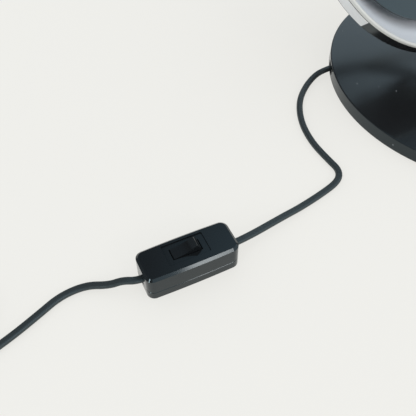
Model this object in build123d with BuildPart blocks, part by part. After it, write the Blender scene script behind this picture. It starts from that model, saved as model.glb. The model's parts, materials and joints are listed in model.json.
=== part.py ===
"""Desk lamp with a swing arm on a column, a dish head in a yoke and an in-line rocker switch.

Millimetres. The origin is the centre of the base's underside and +Z is up.
The cord leaves the base towards -X. The arm is stored low, with the dish over the base.
"""

from build123d import *
from math import cos, pi, radians, sin, sqrt, tan
import os

os.makedirs("parts", exist_ok=True)

# Clearances
fit_gap = 0.05
loose_gap = 0.3
seat_gap = 0.1
cut_margin = 5.0

# Base
base_radius = 120.5
base_edge_height = 11.0
base_dome_rise = 3.0
base_wall = 1.6
base_shoulder_round = 0.8
skirt_bottom = 1.0
pad_thickness = 1.2
pad_rim_gap = 4.5
plate_thickness = 1.2
plate_rim_gap = 0.6
weight_rim_gap = 4.9
weight_top_height = 9.0
weight_boss_radius = 16.0
base_screw_inset = 19.0
base_screw_radius = 2.0
base_screw_head_radius = 4.0
base_screw_length = 5.5

# Cord outlet in the base's side
outlet_angle = 177.4
outlet_heading = 206.0
outlet_notch_width = 16.0
outlet_notch_height = 8.6
outlet_notch_sill = 2.5
outlet_notch_corner = 3.0
outlet_cord_run = 6.0
outlet_cord_height = 5.2
clamp_depth = 10.0
clamp_length = 8.0
clamp_width = 20.0
clamp_height = 6.2
clamp_round = 1.0
clamp_screw_offset = 7.0
clamp_screw_radius = 1.5
screw_head_ratio = 1.8
terminal_start = 44.0
terminal_length = 14.0
terminal_width = 16.0
terminal_height = 5.8
terminal_screw_radius = 1.6
terminal_screw_depth = 1.5
terminal_screw_height = 1.2
pocket_width = 24.0
pocket_end_gap = 2.0

# Column
column_x = 40.0
column_radius = 6.0
column_bore = 4.0
column_top = 392.0
column_foot_radius = 13.0
column_foot_height = 6.0
column_foot_round = 2.0
column_nut_flats = 18.0
column_nut_height = 3.8
column_washer_radius = 11.0
nut_pocket_radius = 13.0
cap_radius = 7.0
cap_height = 7.0
cap_spigot_length = 8.0

# Height collar
collar_radius = 14.0
collar_height = 22.0
sleeve_wall = 3.0
ring_radius = 12.0
ring_height = 4.0
ring_chamfer = 0.8
collar_round = 1.5
collar_screw_radius = 3.0
collar_screw_drop = 11.0
knob_stand_off = 3.0

# Arms
arm_length = 180.0
arm_tube_radius = 6.0
arm_tube_wall = 1.5
arm_boss_radius = 13.0
arm_boss_height = 14.0
arm_boss_round = 1.2
arm_neck_wall = 0.9
arm_socket_reach = 20.0
arm_spigot_length = 12.0
hub_radius = 15.0
joint_pin_radius = 4.0
wrist_nut_flats = 13.6
joint_washer = 1.0
pin_head_radius = 8.0
pin_head_height = 4.0
pin_head_round = 1.0
washer_inset = 0.5

# Knobs
knob_radius = 11.0
knob_height = 10.0
knob_flute_radius = 1.6
knob_flute_count = 12
knob_chamfer = 0.6
knob_cap = 2.0

# Head: the dish turns about a level axis through the middle of its band
head_x = -68.9
head_y = 27.9
head_z = 110.6
head_heading = -60.0
head_tilt = 45.0
head_radius = 88.0
band_height = 12.4
shell_wall = 1.0
shell_back_radius = 46.0
shell_depth = 30.0
shell_bend = 1.0
lip_width = 2.3
lip_height = 2.8
groove_width = 0.8
reflector_wall = 0.8
reflector_flat_radius = 52.0
reflector_depth = 28.0
glare_disc_radius = 64.4
glare_disc_depth = 13.7
glare_disc_thickness = 1.5
glare_disc_rise = 2.5
glare_post_circle = 46.0
glare_post_start = 30.0
glare_post_radius = 2.5
glare_stud_radius = 1.5
glare_nut_flats = 6.0
glare_nut_height = 2.0
disc_screw_head_radius = 2.4
disc_screw_head_height = 1.0
disc_screw_length = 6.0
disc_screw_share = 0.6
tube_lamp_radius = 5.0
tube_lamp_length = 70.0
tube_lamp_round = 1.5
tube_lamp_pip_radius = 2.2
tube_lamp_pip_length = 4.0
holder_length = 12.0
holder_width = 14.0
holder_height = 10.5
holder_chamfer = 1.0
holder_screw_radius = 1.5
holder_screw_depth = 4.0
strip_thickness = 0.35
strip_width = 8.2
strip_edge_gap = 0.4
strip_start = 187.5
strip_end = 214.8
grommet_radius = 6.0
grommet_bore = 2.8
grommet_flange = 1.5
vent_circle = 34.0
vent_radius = 2.5
vent_count = 12

# Yoke
yoke_gap = 4.0
yoke_thickness = 3.0
yoke_height = 13.0
yoke_pin_offset = 18.0
yoke_lug_radius = 12.0
tilt_screw_radius = 2.5
tilt_pad_radius = 5.5
yoke_eye_reach = 8.0
tilt_pad_reach = 2.5
tilt_washer_radius = 8.0

# In-line switch
switch_x = -231.7
switch_y = -183.8
switch_turn = 25.2
switch_length = 59.5
switch_width = 23.0
switch_height = 19.5
switch_seam = 6.7
switch_corner = 5.0
switch_bulge = 0.55
switch_wall = 1.8
switch_bevel = 1.5
switch_foot_round = 1.0
well_length = 26.4
well_width = 15.0
well_depth = 0.8
rocker_along = -0.5
rocker_across = 1.2
well_corner = 0.8
switch_floor = 1.6
switch_ceiling = 16.9
seam_chamfer = 0.3
rocker_swing_radius = 9.2
rocker_width = 7.4
rocker_travel = 36.0
rocker_rise = 5.2
rocker_dish = 1.0
rocker_drop = 2.0
rocker_pin_height = 16.5
rocker_pin_radius = 1.0
rocker_ear_radius = 2.0
rocker_ear_thickness = 2.0
switch_cord_height = 6.8
switch_cord_inside = 8.8
switch_bar_length = 4.0
switch_bar_width = 12.0
switch_bar_height = 3.0
switch_bar_setback = 5.6
bar_screw_radius = 0.9
bar_screw_head_radius = 1.35
bar_screw_offset = 4.6
bar_screw_depth = 3.0
case_screw_radius = 1.3
case_screw_x = 11.2
case_screw_y = 7.4
case_screw_head_radius = 2.4
case_screw_head_height = 1.2
case_screw_length = 10.0
case_post_radius = 3.3
case_boss_radius = 2.31
terminal_block_length = 6.0
terminal_block_width = 10.0
terminal_block_height = 10.4
contact_thickness = 0.6
contact_width = 4.0
contact_reach = 13.0
contact_drop = 3.2

# Cord
cord_diameter = 4.8
cord_bend_share = 0.45
switch_lamp_run = 15.0
switch_coil_run = 13.0
switch_hole_gap = 0.3
coil_x = -385.0
coil_y = -229.0
coil_start_angle = -46.2
coil_outer_radius = 38.0
coil_pitch = 5.4
coil_lift = 5.3
coil_spiral_turns = 3.375
coil_climb_turns = 0.5
coil_end_straight = 4.8
coil_arriving_run = 17.0
coil_leaving_run = 11.0

# The lying cord's points, from the lamp to the switch and from the switch to the coil
lamp_side_points = [
    (-134.0, -2.8, 3.4),
    (-143.5, -15.0, 2.6),
    (-150.0, -34.0, 2.6),
    (-151.5, -54.0, 2.6),
    (-145.6, -76.0, 2.6),
    (-125.6, -110.0, 2.6),
    (-144.5, -127.0, 2.6),
    (-160.0, -139.2, 2.6),
    (-177.0, -150.5, 2.8),
]
coil_side_points = [
    (-276.0, -196.8, 3.6),
    (-292.0, -197.2, 2.6),
    (-305.0, -203.5, 2.6),
    (-316.0, -215.0, 2.6),
    (-330.0, -230.5, 2.6),
]
plug_side_points = [
    (-433.0, -236.3, 6.85),
    (-442.0, -229.2, 6.85),
]

# Plug, lying flat
plug_length = 36.0
plug_width = 35.0
plug_nose_width = 14.0
plug_thickness = 13.7
plug_pin_radius = 2.0
plug_pin_round = 1.2
plug_pin_length = 19.0
plug_pin_spacing = 18.6
plug_shoulder = 14.0
plug_round = 2.5
plug_pin_core = 1.6
plug_sleeve_length = 10.0
plug_pin_root = 8.0
relief_length = 22.0
relief_radius = 4.6
relief_tip_radius = 3.4
relief_root = 1.0

# Heights and places that follow from the sizes above
cord_radius = cord_diameter / 2
plate_bottom = pad_thickness
plate_top = plate_bottom + plate_thickness
plate_radius = base_radius - base_wall - plate_rim_gap
pad_radius = base_radius - pad_rim_gap
weight_radius = base_radius - base_wall - weight_rim_gap
base_screw_circle = weight_radius - base_screw_inset
yoke_pin_distance = head_radius + yoke_pin_offset
yoke_inner = head_radius + yoke_gap
yoke_outer = yoke_inner + yoke_thickness
yoke_top = head_z + yoke_height / 2
yoke_bottom = head_z - yoke_height / 2
forearm_bottom = yoke_top + joint_washer
forearm_top = forearm_bottom + arm_boss_height
lower_arm_top = forearm_bottom - joint_washer
lower_arm_bottom = lower_arm_top - arm_boss_height
collar_top = lower_arm_bottom - joint_washer
collar_bottom = collar_top - collar_height


def dome_height(radius):
    """Height of the base's outer top surface at a radius from its centre."""
    sphere = (base_radius**2 + base_dome_rise**2) / (2 * base_dome_rise)
    return base_edge_height + base_dome_rise - sphere + sqrt(sphere**2 - radius**2)


def heading(angle):
    """Level unit vector at an angle from +X."""
    return Vector(cos(radians(angle)), sin(radians(angle)), 0)


def save(builder, name):
    """Name a finished piece and write it."""
    builder.part.label = name
    export_step(builder.part, f"parts/{name}.step")


# Frames of the head: its face looks along face_normal, and it tilts about tilt_axis
head_centre = Vector(head_x, head_y, head_z)
head_forward = heading(head_heading)
tilt_axis = heading(head_heading + 90)
face_normal = head_forward * sin(radians(head_tilt)) + Vector(0, 0, 1) * cos(radians(head_tilt))
head_plane = Plane(origin=head_centre, x_dir=tilt_axis, z_dir=face_normal)
head_section = Plane(origin=head_centre, x_dir=tilt_axis, z_dir=tilt_axis.cross(face_normal))
head_axis = Axis(head_centre, face_normal)
rim_height = band_height / 2

# Places of the arm's pins
column_centre = Vector(column_x, 0, 0)
head_level = Vector(head_x, head_y, 0)
yoke_pin = head_level - head_forward * yoke_pin_distance
reach = yoke_pin - column_centre
half_reach = reach.length / 2
elbow_offset = sqrt(arm_length**2 - half_reach**2)
elbow = column_centre + reach * 0.5 + reach.normalized().cross(Vector(0, 0, 1)) * elbow_offset
lower_arm_direction = (elbow - column_centre).normalized()
forearm_direction = (yoke_pin - elbow).normalized()

# Frame of the cord outlet: its local X runs into the base along the cord
outlet_point = heading(outlet_angle) * base_radius
outlet_inward = heading(outlet_heading + 180)
outlet_plane = Plane(origin=outlet_point, x_dir=outlet_inward, z_dir=(0, 0, 1))
notch_middle = (outlet_notch_sill + outlet_notch_height) / 2
notch_plane = Plane(origin=(0, 0, notch_middle), x_dir=heading(outlet_angle + 90), z_dir=heading(outlet_angle))

# Frame of the switch: its local X points to the lamp's side
switch_plane = Plane(origin=(switch_x, switch_y, 0), x_dir=heading(switch_turn), z_dir=(0, 0, 1))


# Base
with BuildPart() as base_cover:
    with BuildSketch(Plane.XZ):
        with BuildLine():
            mid = base_radius / 2
            top = base_edge_height + base_dome_rise
            inner = base_radius - base_wall
            shoulder = base_shoulder_round
            ThreePointArc(
                (0, top), (mid, dome_height(mid)), (base_radius - shoulder, dome_height(base_radius - shoulder))
            )
            RadiusArc(
                (base_radius - shoulder, dome_height(base_radius - shoulder)),
                (base_radius, base_edge_height - shoulder),
                shoulder,
            )
            Line((base_radius, base_edge_height - shoulder), (base_radius, skirt_bottom))
            Line((base_radius, skirt_bottom), (inner, skirt_bottom))
            Line((inner, skirt_bottom), (inner, dome_height(inner) - base_wall))
            ThreePointArc(
                (inner, dome_height(inner) - base_wall), (mid, dome_height(mid) - base_wall), (0, top - base_wall)
            )
            Line((0, top - base_wall), (0, top))
        make_face()
    revolve(axis=Axis.Z)
    with BuildSketch(Plane(origin=column_centre)):
        Circle(column_radius + seat_gap)
    extrude(amount=base_edge_height * 2, mode=Mode.SUBTRACT)
    with BuildSketch(notch_plane):
        RectangleRounded(outlet_notch_width, outlet_notch_height - outlet_notch_sill, outlet_notch_corner)
    extrude(amount=base_radius * 2, mode=Mode.SUBTRACT)
save(base_cover, "base_cover")

with BuildPart() as base_weight:
    with BuildSketch(Plane.XY.offset(plate_top)):
        Circle(weight_radius)
    extrude(amount=weight_top_height - plate_top)
    with BuildSketch(Plane(origin=column_centre).offset(weight_top_height)):
        Circle(weight_boss_radius)
    boss_top = dome_height(column_x + weight_boss_radius) - base_wall - seat_gap
    extrude(amount=boss_top - weight_top_height)
    with BuildSketch(Plane(origin=column_centre).offset(plate_top)):
        Circle(nut_pocket_radius)
    extrude(amount=column_nut_height + joint_washer, mode=Mode.SUBTRACT)
    with BuildSketch(Plane(origin=column_centre)):
        Circle(column_radius + seat_gap)
    extrude(amount=base_edge_height * 2, mode=Mode.SUBTRACT)
    with BuildSketch(outlet_plane):
        with Locations((terminal_start / 2 + terminal_length / 2, 0)):
            Rectangle(terminal_start + terminal_length + 2 * pocket_end_gap, pocket_width)
    extrude(amount=base_edge_height * 2, mode=Mode.SUBTRACT)
    with BuildSketch(Plane.XY.offset(plate_bottom)):
        with PolarLocations(base_screw_circle, 3):
            Circle(base_screw_radius + fit_gap)
    extrude(amount=base_screw_length + seat_gap, mode=Mode.SUBTRACT)
save(base_weight, "base_weight")

with BuildPart() as base_plate:
    with BuildSketch(Plane.XY.offset(plate_bottom)):
        Circle(plate_radius)
        with Locations((column_x, 0)):
            Circle(nut_pocket_radius, mode=Mode.SUBTRACT)
        with PolarLocations(base_screw_circle, 3):
            Circle(base_screw_head_radius + fit_gap, mode=Mode.SUBTRACT)
    extrude(amount=plate_thickness)
save(base_plate, "base_plate")

with BuildPart() as base_pad:
    with BuildSketch(Plane.XY):
        Circle(pad_radius)
        with Locations((column_x, 0)):
            Circle(nut_pocket_radius, mode=Mode.SUBTRACT)
    extrude(amount=pad_thickness)
save(base_pad, "base_pad")

with BuildPart() as base_screws:
    with BuildSketch(Plane.XY.offset(plate_bottom)):
        with PolarLocations(base_screw_circle, 3):
            Circle(base_screw_head_radius)
    extrude(amount=plate_thickness)
    with BuildSketch(Plane.XY.offset(plate_top)):
        with PolarLocations(base_screw_circle, 3):
            Circle(base_screw_radius)
    extrude(amount=base_screw_length - plate_thickness)
save(base_screws, "base_screws")

with BuildPart() as cord_clamp:
    with BuildSketch(outlet_plane.offset(plate_top)):
        with Locations((clamp_depth + clamp_length / 2, 0)):
            Rectangle(clamp_length, clamp_width)
    extrude(amount=clamp_height)
    fillet(cord_clamp.faces().sort_by(Axis.Z)[-1].edges(), clamp_round)
    clamp_face = Plane(
        origin=outlet_point + outlet_inward * (clamp_depth - cut_margin) + Vector(0, 0, outlet_cord_height),
        z_dir=outlet_inward,
    )
    with BuildSketch(clamp_face):
        Circle(cord_radius + fit_gap)
    extrude(amount=clamp_length + 2 * cut_margin, mode=Mode.SUBTRACT)
    with BuildSketch(outlet_plane.offset(plate_top)):
        with Locations((clamp_depth + clamp_length / 2, 0)):
            with GridLocations(0, clamp_screw_offset * 2, 1, 2):
                Circle(clamp_screw_radius + fit_gap)
    extrude(amount=clamp_height * 2, mode=Mode.SUBTRACT)
save(cord_clamp, "cord_clamp")

with BuildPart() as base_inner_screws:
    with BuildSketch(outlet_plane.offset(plate_top)):
        with Locations((clamp_depth + clamp_length / 2, 0)):
            with GridLocations(0, clamp_screw_offset * 2, 1, 2):
                Circle(clamp_screw_radius)
    extrude(amount=clamp_height)
    with BuildSketch(outlet_plane.offset(plate_top + clamp_height)):
        with Locations((clamp_depth + clamp_length / 2, 0)):
            with GridLocations(0, clamp_screw_offset * 2, 1, 2):
                Circle(clamp_screw_radius * screw_head_ratio)
    extrude(amount=clamp_screw_radius / 2)
    with BuildSketch(outlet_plane.offset(plate_top + terminal_height - terminal_screw_depth)):
        with Locations((terminal_start + terminal_length / 2, 0)):
            with GridLocations(terminal_length / 2, terminal_width / 2, 2, 2):
                Circle(terminal_screw_radius - seat_gap)
    extrude(amount=terminal_screw_height)
save(base_inner_screws, "base_inner_screws")

with BuildPart() as base_terminal:
    with BuildSketch(outlet_plane.offset(plate_top)):
        with Locations((terminal_start + terminal_length / 2, 0)):
            Rectangle(terminal_length, terminal_width)
    extrude(amount=terminal_height)
    with BuildSketch(outlet_plane.offset(plate_top + terminal_height)):
        with Locations((terminal_start + terminal_length / 2, 0)):
            with GridLocations(terminal_length / 2, terminal_width / 2, 2, 2):
                Circle(terminal_screw_radius)
    extrude(amount=-terminal_screw_depth, mode=Mode.SUBTRACT)
save(base_terminal, "base_terminal")

# Cord held inside the base, from the clamp's outer face to the terminal block
with BuildPart() as cord_in_base:
    with BuildSketch(
        Plane(
            origin=outlet_point + outlet_inward * clamp_depth + Vector(0, 0, outlet_cord_height),
            z_dir=outlet_inward,
        )
    ):
        Circle(cord_radius)
    extrude(amount=terminal_start - clamp_depth)
save(cord_in_base, "cord_in_base")

# Column
with BuildPart() as column:
    with BuildSketch(Plane(origin=column_centre).offset(plate_top + seat_gap)):
        Circle(column_radius)
        Circle(column_bore, mode=Mode.SUBTRACT)
    extrude(amount=column_top - plate_top - seat_gap)
save(column, "column")

with BuildPart() as column_foot:
    foot_bottom = dome_height(column_x + column_foot_radius)
    foot_top = dome_height(column_x) + column_foot_height
    with BuildSketch(Plane(origin=column_centre).offset(foot_bottom)):
        Circle(column_foot_radius)
    extrude(amount=foot_top - foot_bottom)
    fillet(column_foot.faces().sort_by(Axis.Z)[-1].edges(), column_foot_round)
    with BuildSketch(Plane.XZ):
        with BuildLine():
            edge = base_radius - base_wall
            crown = (0, dome_height(0) + seat_gap)
            rim = (edge, dome_height(edge) + seat_gap)
            ThreePointArc(crown, (mid, dome_height(mid) + seat_gap), rim)
            Polyline(rim, (edge, 0), (0, 0), crown)
        make_face()
    revolve(axis=Axis.Z, mode=Mode.SUBTRACT)
    with BuildSketch(Plane(origin=column_centre)):
        Circle(column_radius + seat_gap)
    extrude(amount=foot_top * 2, mode=Mode.SUBTRACT)
save(column_foot, "column_foot")

with BuildPart() as column_nut:
    with BuildSketch(Plane(origin=column_centre).offset(plate_top)):
        RegularPolygon(column_nut_flats / 2, 6, major_radius=False)
        Circle(column_radius + fit_gap, mode=Mode.SUBTRACT)
    extrude(amount=column_nut_height)
save(column_nut, "column_nut")

with BuildPart() as column_washer:
    with BuildSketch(Plane(origin=column_centre).offset(plate_top + column_nut_height)):
        Circle(column_washer_radius)
        Circle(column_radius + fit_gap, mode=Mode.SUBTRACT)
    extrude(amount=joint_washer)
save(column_washer, "column_washer")

with BuildPart() as column_cap:
    with BuildSketch(Plane(origin=column_centre).offset(column_top)):
        Circle(cap_radius)
    extrude(amount=cap_height)
    fillet(column_cap.faces().sort_by(Axis.Z)[-1].edges(), cap_height / 2)
    with BuildSketch(Plane(origin=column_centre).offset(column_top)):
        Circle(column_bore - fit_gap)
    extrude(amount=-cap_spigot_length)
save(column_cap, "column_cap")


def fluted_knob(plane, radius, height, shank_radius, shank_length):
    """A clamp knob standing on a plane, with its screw shank going back through it."""
    with BuildPart() as knob:
        with BuildSketch(plane):
            Circle(radius)
            with PolarLocations(radius + knob_flute_radius / 3, knob_flute_count):
                Circle(knob_flute_radius, mode=Mode.SUBTRACT)
        extrude(amount=height)
        chamfer(knob.faces().sort_by(Axis(plane.origin, plane.z_dir))[-1].outer_wire().edges(), knob_chamfer)
        with BuildSketch(plane):
            Circle(shank_radius)
        extrude(amount=-shank_length)
    return knob


# Height collar
with BuildPart() as collar:
    with BuildSketch(Plane(origin=column_centre).offset(collar_bottom)):
        Circle(collar_radius)
    extrude(amount=collar_height)
    fillet(collar.edges().sort_by(Axis.Z)[0], collar_round)
    sleeve_radius = column_radius + sleeve_wall
    with BuildSketch(Plane(origin=column_centre).offset(collar_top)):
        Circle(sleeve_radius)
    extrude(amount=joint_washer + arm_boss_height + loose_gap + ring_height)
    with BuildSketch(Plane(origin=column_centre).offset(collar_bottom)):
        Circle(column_radius + fit_gap)
    extrude(amount=collar_height * 3, mode=Mode.SUBTRACT)
    collar_screw_plane = Plane(
        origin=column_centre + Vector(0, 0, collar_bottom + collar_screw_drop), x_dir=(0, 1, 0), z_dir=(1, 0, 0)
    )
    with BuildSketch(collar_screw_plane):
        Circle(collar_screw_radius + fit_gap)
    extrude(amount=collar_radius * 2, mode=Mode.SUBTRACT)
save(collar, "collar")

with BuildPart() as collar_ring:
    with BuildSketch(Plane(origin=column_centre).offset(lower_arm_top + loose_gap)):
        Circle(ring_radius)
        Circle(sleeve_radius + fit_gap, mode=Mode.SUBTRACT)
    extrude(amount=ring_height)
    chamfer(collar_ring.faces().sort_by(Axis.Z)[-1].outer_wire().edges(), ring_chamfer)
save(collar_ring, "collar_ring")

knob_face = collar_radius + knob_stand_off
collar_knob = fluted_knob(
    collar_screw_plane.offset(knob_face),
    knob_radius,
    knob_height,
    collar_screw_radius,
    knob_face - column_radius - seat_gap,
)
save(collar_knob, "collar_knob")

with BuildPart() as collar_washer:
    with BuildSketch(Plane(origin=column_centre).offset(collar_top)):
        Circle(collar_radius - washer_inset)
        Circle(sleeve_radius + fit_gap, mode=Mode.SUBTRACT)
    extrude(amount=joint_washer)
save(collar_washer, "collar_washer")


def arm_end(centre, direction, bottom, radius, bore):
    """A round boss with a square neck, whose spigot holds one end of an arm tube."""
    plane = Plane(origin=centre + Vector(0, 0, bottom), x_dir=direction, z_dir=(0, 0, 1))
    neck_plane = Plane(origin=centre + Vector(0, 0, bottom + arm_boss_height / 2), z_dir=direction)
    with BuildPart() as boss:
        with BuildSketch(plane):
            Circle(radius)
        extrude(amount=arm_boss_height)
        fillet(boss.edges().filter_by(GeomType.CIRCLE), arm_boss_round)
        with BuildSketch(neck_plane):
            Circle(arm_tube_radius + arm_neck_wall)
        extrude(amount=arm_socket_reach)
        with BuildSketch(neck_plane.offset(arm_socket_reach)):
            Circle(arm_tube_radius - arm_tube_wall - fit_gap)
        extrude(amount=arm_spigot_length)
        with BuildSketch(plane):
            Circle(bore)
        extrude(amount=arm_boss_height, mode=Mode.SUBTRACT)
    return boss


def arm_tube(start, end, bottom):
    """The tube between the necks of two arm ends."""
    direction = (end - start).normalized()
    origin = start + direction * arm_socket_reach + Vector(0, 0, bottom + arm_boss_height / 2)
    with BuildPart() as tube:
        with BuildSketch(Plane(origin=origin, z_dir=direction)):
            Circle(arm_tube_radius)
            Circle(arm_tube_radius - arm_tube_wall, mode=Mode.SUBTRACT)
        extrude(amount=(end - start).length - 2 * arm_socket_reach)
    return tube


def washer(centre, bottom, radius, bore):
    """A thin friction washer between two bosses."""
    with BuildPart() as ring:
        with BuildSketch(Plane(origin=centre + Vector(0, 0, bottom))):
            Circle(radius)
            Circle(bore, mode=Mode.SUBTRACT)
        extrude(amount=joint_washer)
    return ring


def pivot_bolt(centre, head_bottom, shank_top):
    """A headed bolt standing upright, with its head below."""
    with BuildPart() as bolt:
        with BuildSketch(Plane(origin=centre + Vector(0, 0, head_bottom))):
            Circle(pin_head_radius)
        extrude(amount=pin_head_height)
        fillet(bolt.faces().sort_by(Axis.Z)[0].edges(), pin_head_round)
        with BuildSketch(Plane(origin=centre + Vector(0, 0, head_bottom + pin_head_height))):
            Circle(joint_pin_radius)
        extrude(amount=shank_top - head_bottom - pin_head_height)
    return bolt


# Lower arm
pin_bore = joint_pin_radius + fit_gap
arm_hub = arm_end(column_centre, lower_arm_direction, lower_arm_bottom, hub_radius, sleeve_radius + fit_gap)
save(arm_hub, "arm_hub")
lower_tube = arm_tube(column_centre, elbow, lower_arm_bottom)
save(lower_tube, "lower_arm_tube")
elbow_lower = arm_end(elbow, -lower_arm_direction, lower_arm_bottom, arm_boss_radius, pin_bore)
save(elbow_lower, "elbow_lower_boss")
elbow_washer = washer(elbow, lower_arm_top, arm_boss_radius - washer_inset, pin_bore)
save(elbow_washer, "elbow_washer")
elbow_bolt = pivot_bolt(elbow, lower_arm_bottom - pin_head_height, forearm_top + knob_height - knob_cap)
save(elbow_bolt, "elbow_bolt")

# Forearm
elbow_upper = arm_end(elbow, forearm_direction, forearm_bottom, arm_boss_radius, pin_bore)
save(elbow_upper, "elbow_upper_boss")
forearm = arm_tube(elbow, yoke_pin, forearm_bottom)
save(forearm, "forearm_tube")
wrist = arm_end(yoke_pin, -forearm_direction, forearm_bottom, arm_boss_radius, pin_bore)
save(wrist, "wrist_boss")

with BuildPart() as elbow_knob:
    with BuildSketch(Plane(origin=elbow + Vector(0, 0, forearm_top))):
        Circle(knob_radius)
        with PolarLocations(knob_radius + knob_flute_radius / 3, knob_flute_count):
            Circle(knob_flute_radius, mode=Mode.SUBTRACT)
    extrude(amount=knob_height)
    chamfer(elbow_knob.faces().sort_by(Axis.Z)[-1].outer_wire().edges(), knob_chamfer)
    with BuildSketch(Plane(origin=elbow + Vector(0, 0, forearm_top))):
        Circle(pin_bore)
    extrude(amount=knob_height - knob_cap + seat_gap, mode=Mode.SUBTRACT)
save(elbow_knob, "elbow_knob")

# Yoke and its pin
with BuildPart() as wrist_pin:
    with BuildSketch(Plane(origin=yoke_pin + Vector(0, 0, forearm_top))):
        Circle(pin_head_radius)
    extrude(amount=pin_head_height)
    fillet(wrist_pin.faces().sort_by(Axis.Z)[-1].edges(), pin_head_round)
    with BuildSketch(Plane(origin=yoke_pin + Vector(0, 0, forearm_top))):
        Circle(joint_pin_radius)
    extrude(amount=-(forearm_top - yoke_bottom + pin_head_height))
save(wrist_pin, "wrist_pin")

with BuildPart() as wrist_nut:
    with BuildSketch(Plane(origin=yoke_pin + Vector(0, 0, yoke_bottom - pin_head_height))):
        RegularPolygon(wrist_nut_flats / 2, 6, major_radius=False)
        Circle(pin_bore, mode=Mode.SUBTRACT)
    extrude(amount=pin_head_height - seat_gap)
save(wrist_nut, "wrist_nut")

yoke_washer = washer(yoke_pin, yoke_top, yoke_lug_radius - washer_inset, pin_bore)
save(yoke_washer, "yoke_washer")

with BuildPart() as yoke:
    yoke_plane = Plane(origin=(head_x, head_y, yoke_bottom), x_dir=tilt_axis, z_dir=(0, 0, 1))
    with BuildSketch(yoke_plane):
        with BuildLine():
            CenterArc((0, 0), yoke_outer, 0, 180)
            Line((-yoke_outer, 0), (-yoke_outer, -yoke_eye_reach))
            Line((-yoke_outer, -yoke_eye_reach), (-yoke_inner, -yoke_eye_reach))
            Line((-yoke_inner, -yoke_eye_reach), (-yoke_inner, 0))
            CenterArc((0, 0), yoke_inner, 180, -180)
            Line((yoke_inner, 0), (yoke_inner, -yoke_eye_reach))
            Line((yoke_inner, -yoke_eye_reach), (yoke_outer, -yoke_eye_reach))
            Line((yoke_outer, -yoke_eye_reach), (yoke_outer, 0))
        make_face()
        with Locations((0, yoke_pin_distance)):
            Circle(yoke_lug_radius)
        Circle(yoke_inner, mode=Mode.SUBTRACT)
    extrude(amount=yoke_height)
    with BuildSketch(yoke_plane):
        with Locations((0, yoke_pin_distance)):
            Circle(pin_bore)
    extrude(amount=yoke_height, mode=Mode.SUBTRACT)
    with BuildSketch(Plane(origin=head_centre, z_dir=tilt_axis)):
        Circle(tilt_washer_radius + loose_gap)
    extrude(amount=yoke_inner, both=True, mode=Mode.SUBTRACT)
    with BuildSketch(Plane(origin=head_centre, z_dir=tilt_axis)):
        Circle(tilt_screw_radius + fit_gap)
    extrude(amount=yoke_outer + cut_margin, both=True, mode=Mode.SUBTRACT)
save(yoke, "yoke")

tilt_knob_reach = yoke_outer + loose_gap - head_radius + shell_wall - seat_gap
for side, name in ((1, "tilt_knob_right"), (-1, "tilt_knob_left")):
    outward = tilt_axis * side
    knob = fluted_knob(
        Plane(origin=head_centre + outward * (yoke_outer + loose_gap), z_dir=outward),
        knob_radius,
        knob_height,
        tilt_screw_radius,
        tilt_knob_reach,
    )
    save(knob, name)

with BuildPart() as tilt_washers:
    for outward in (tilt_axis, -tilt_axis):
        with BuildSketch(Plane(origin=head_centre + outward * (head_radius + tilt_pad_reach), z_dir=outward)):
            Circle(tilt_washer_radius)
            Circle(tilt_screw_radius + fit_gap, mode=Mode.SUBTRACT)
        extrude(amount=yoke_gap - tilt_pad_reach)
save(tilt_washers, "tilt_washers")

# Head: outer shell, its lip, the white dish and the dark disc in front of it
lip_bottom = rim_height - lip_height
with BuildPart() as head_shell:
    with BuildSketch(head_section):
        with BuildLine():
            back = -shell_depth
            inner = head_radius - shell_wall
            ledge_inner = inner - groove_width * 2
            ledge_bottom = lip_bottom - shell_wall * 2
            ledge_top = lip_bottom - reflector_wall
            bend_start = (head_radius, -rim_height + shell_bend)
            bend_end = (head_radius - shell_bend * 0.7, -rim_height - shell_bend * 0.4)
            Line((head_radius, lip_bottom), bend_start)
            RadiusArc(bend_start, bend_end, shell_bend)
            Polyline(
                bend_end,
                (shell_back_radius, back),
                (0, back),
                (0, back + shell_wall),
                (shell_back_radius - shell_wall * 0.3, back + shell_wall),
                (inner, -rim_height + shell_bend * 0.2),
                (inner, ledge_bottom),
                (ledge_inner, ledge_bottom),
                (ledge_inner, ledge_top),
                (inner, ledge_top),
                (inner, lip_bottom),
                (head_radius, lip_bottom),
            )
        make_face()
    revolve(axis=head_axis)
    for outward in (tilt_axis, -tilt_axis):
        with BuildSketch(Plane(origin=head_centre + outward * (head_radius - shell_wall + seat_gap), z_dir=outward)):
            Circle(tilt_pad_radius)
        extrude(amount=shell_wall - seat_gap + tilt_pad_reach)
    with BuildSketch(head_plane.offset(lip_bottom)):
        Circle(head_radius + fit_gap)
    extrude(amount=tilt_pad_radius * 2, mode=Mode.SUBTRACT)
    with BuildSketch(Plane(origin=head_centre, z_dir=tilt_axis)):
        Circle(tilt_screw_radius + fit_gap)
    extrude(amount=head_radius + cut_margin, both=True, mode=Mode.SUBTRACT)
    with BuildSketch(head_plane.offset(-shell_depth - shell_wall)):
        Circle(grommet_radius)
        with PolarLocations(vent_circle, vent_count):
            Circle(vent_radius)
    extrude(amount=shell_wall * 3, mode=Mode.SUBTRACT)
save(head_shell, "head_shell")

with BuildPart() as head_lip:
    with BuildSketch(head_section):
        with BuildLine():
            lip_inner = head_radius - lip_width
            Line((lip_inner, lip_bottom), (head_radius, lip_bottom))
            Line((head_radius, lip_bottom), (head_radius, rim_height - lip_width / 2))
            ThreePointArc(
                (head_radius, rim_height - lip_width / 2),
                (head_radius - lip_width / 2, rim_height),
                (lip_inner, rim_height - lip_width / 2),
            )
            Line((lip_inner, rim_height - lip_width / 2), (lip_inner, lip_bottom))
        make_face()
    revolve(axis=head_axis)
save(head_lip, "head_lip")

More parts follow.
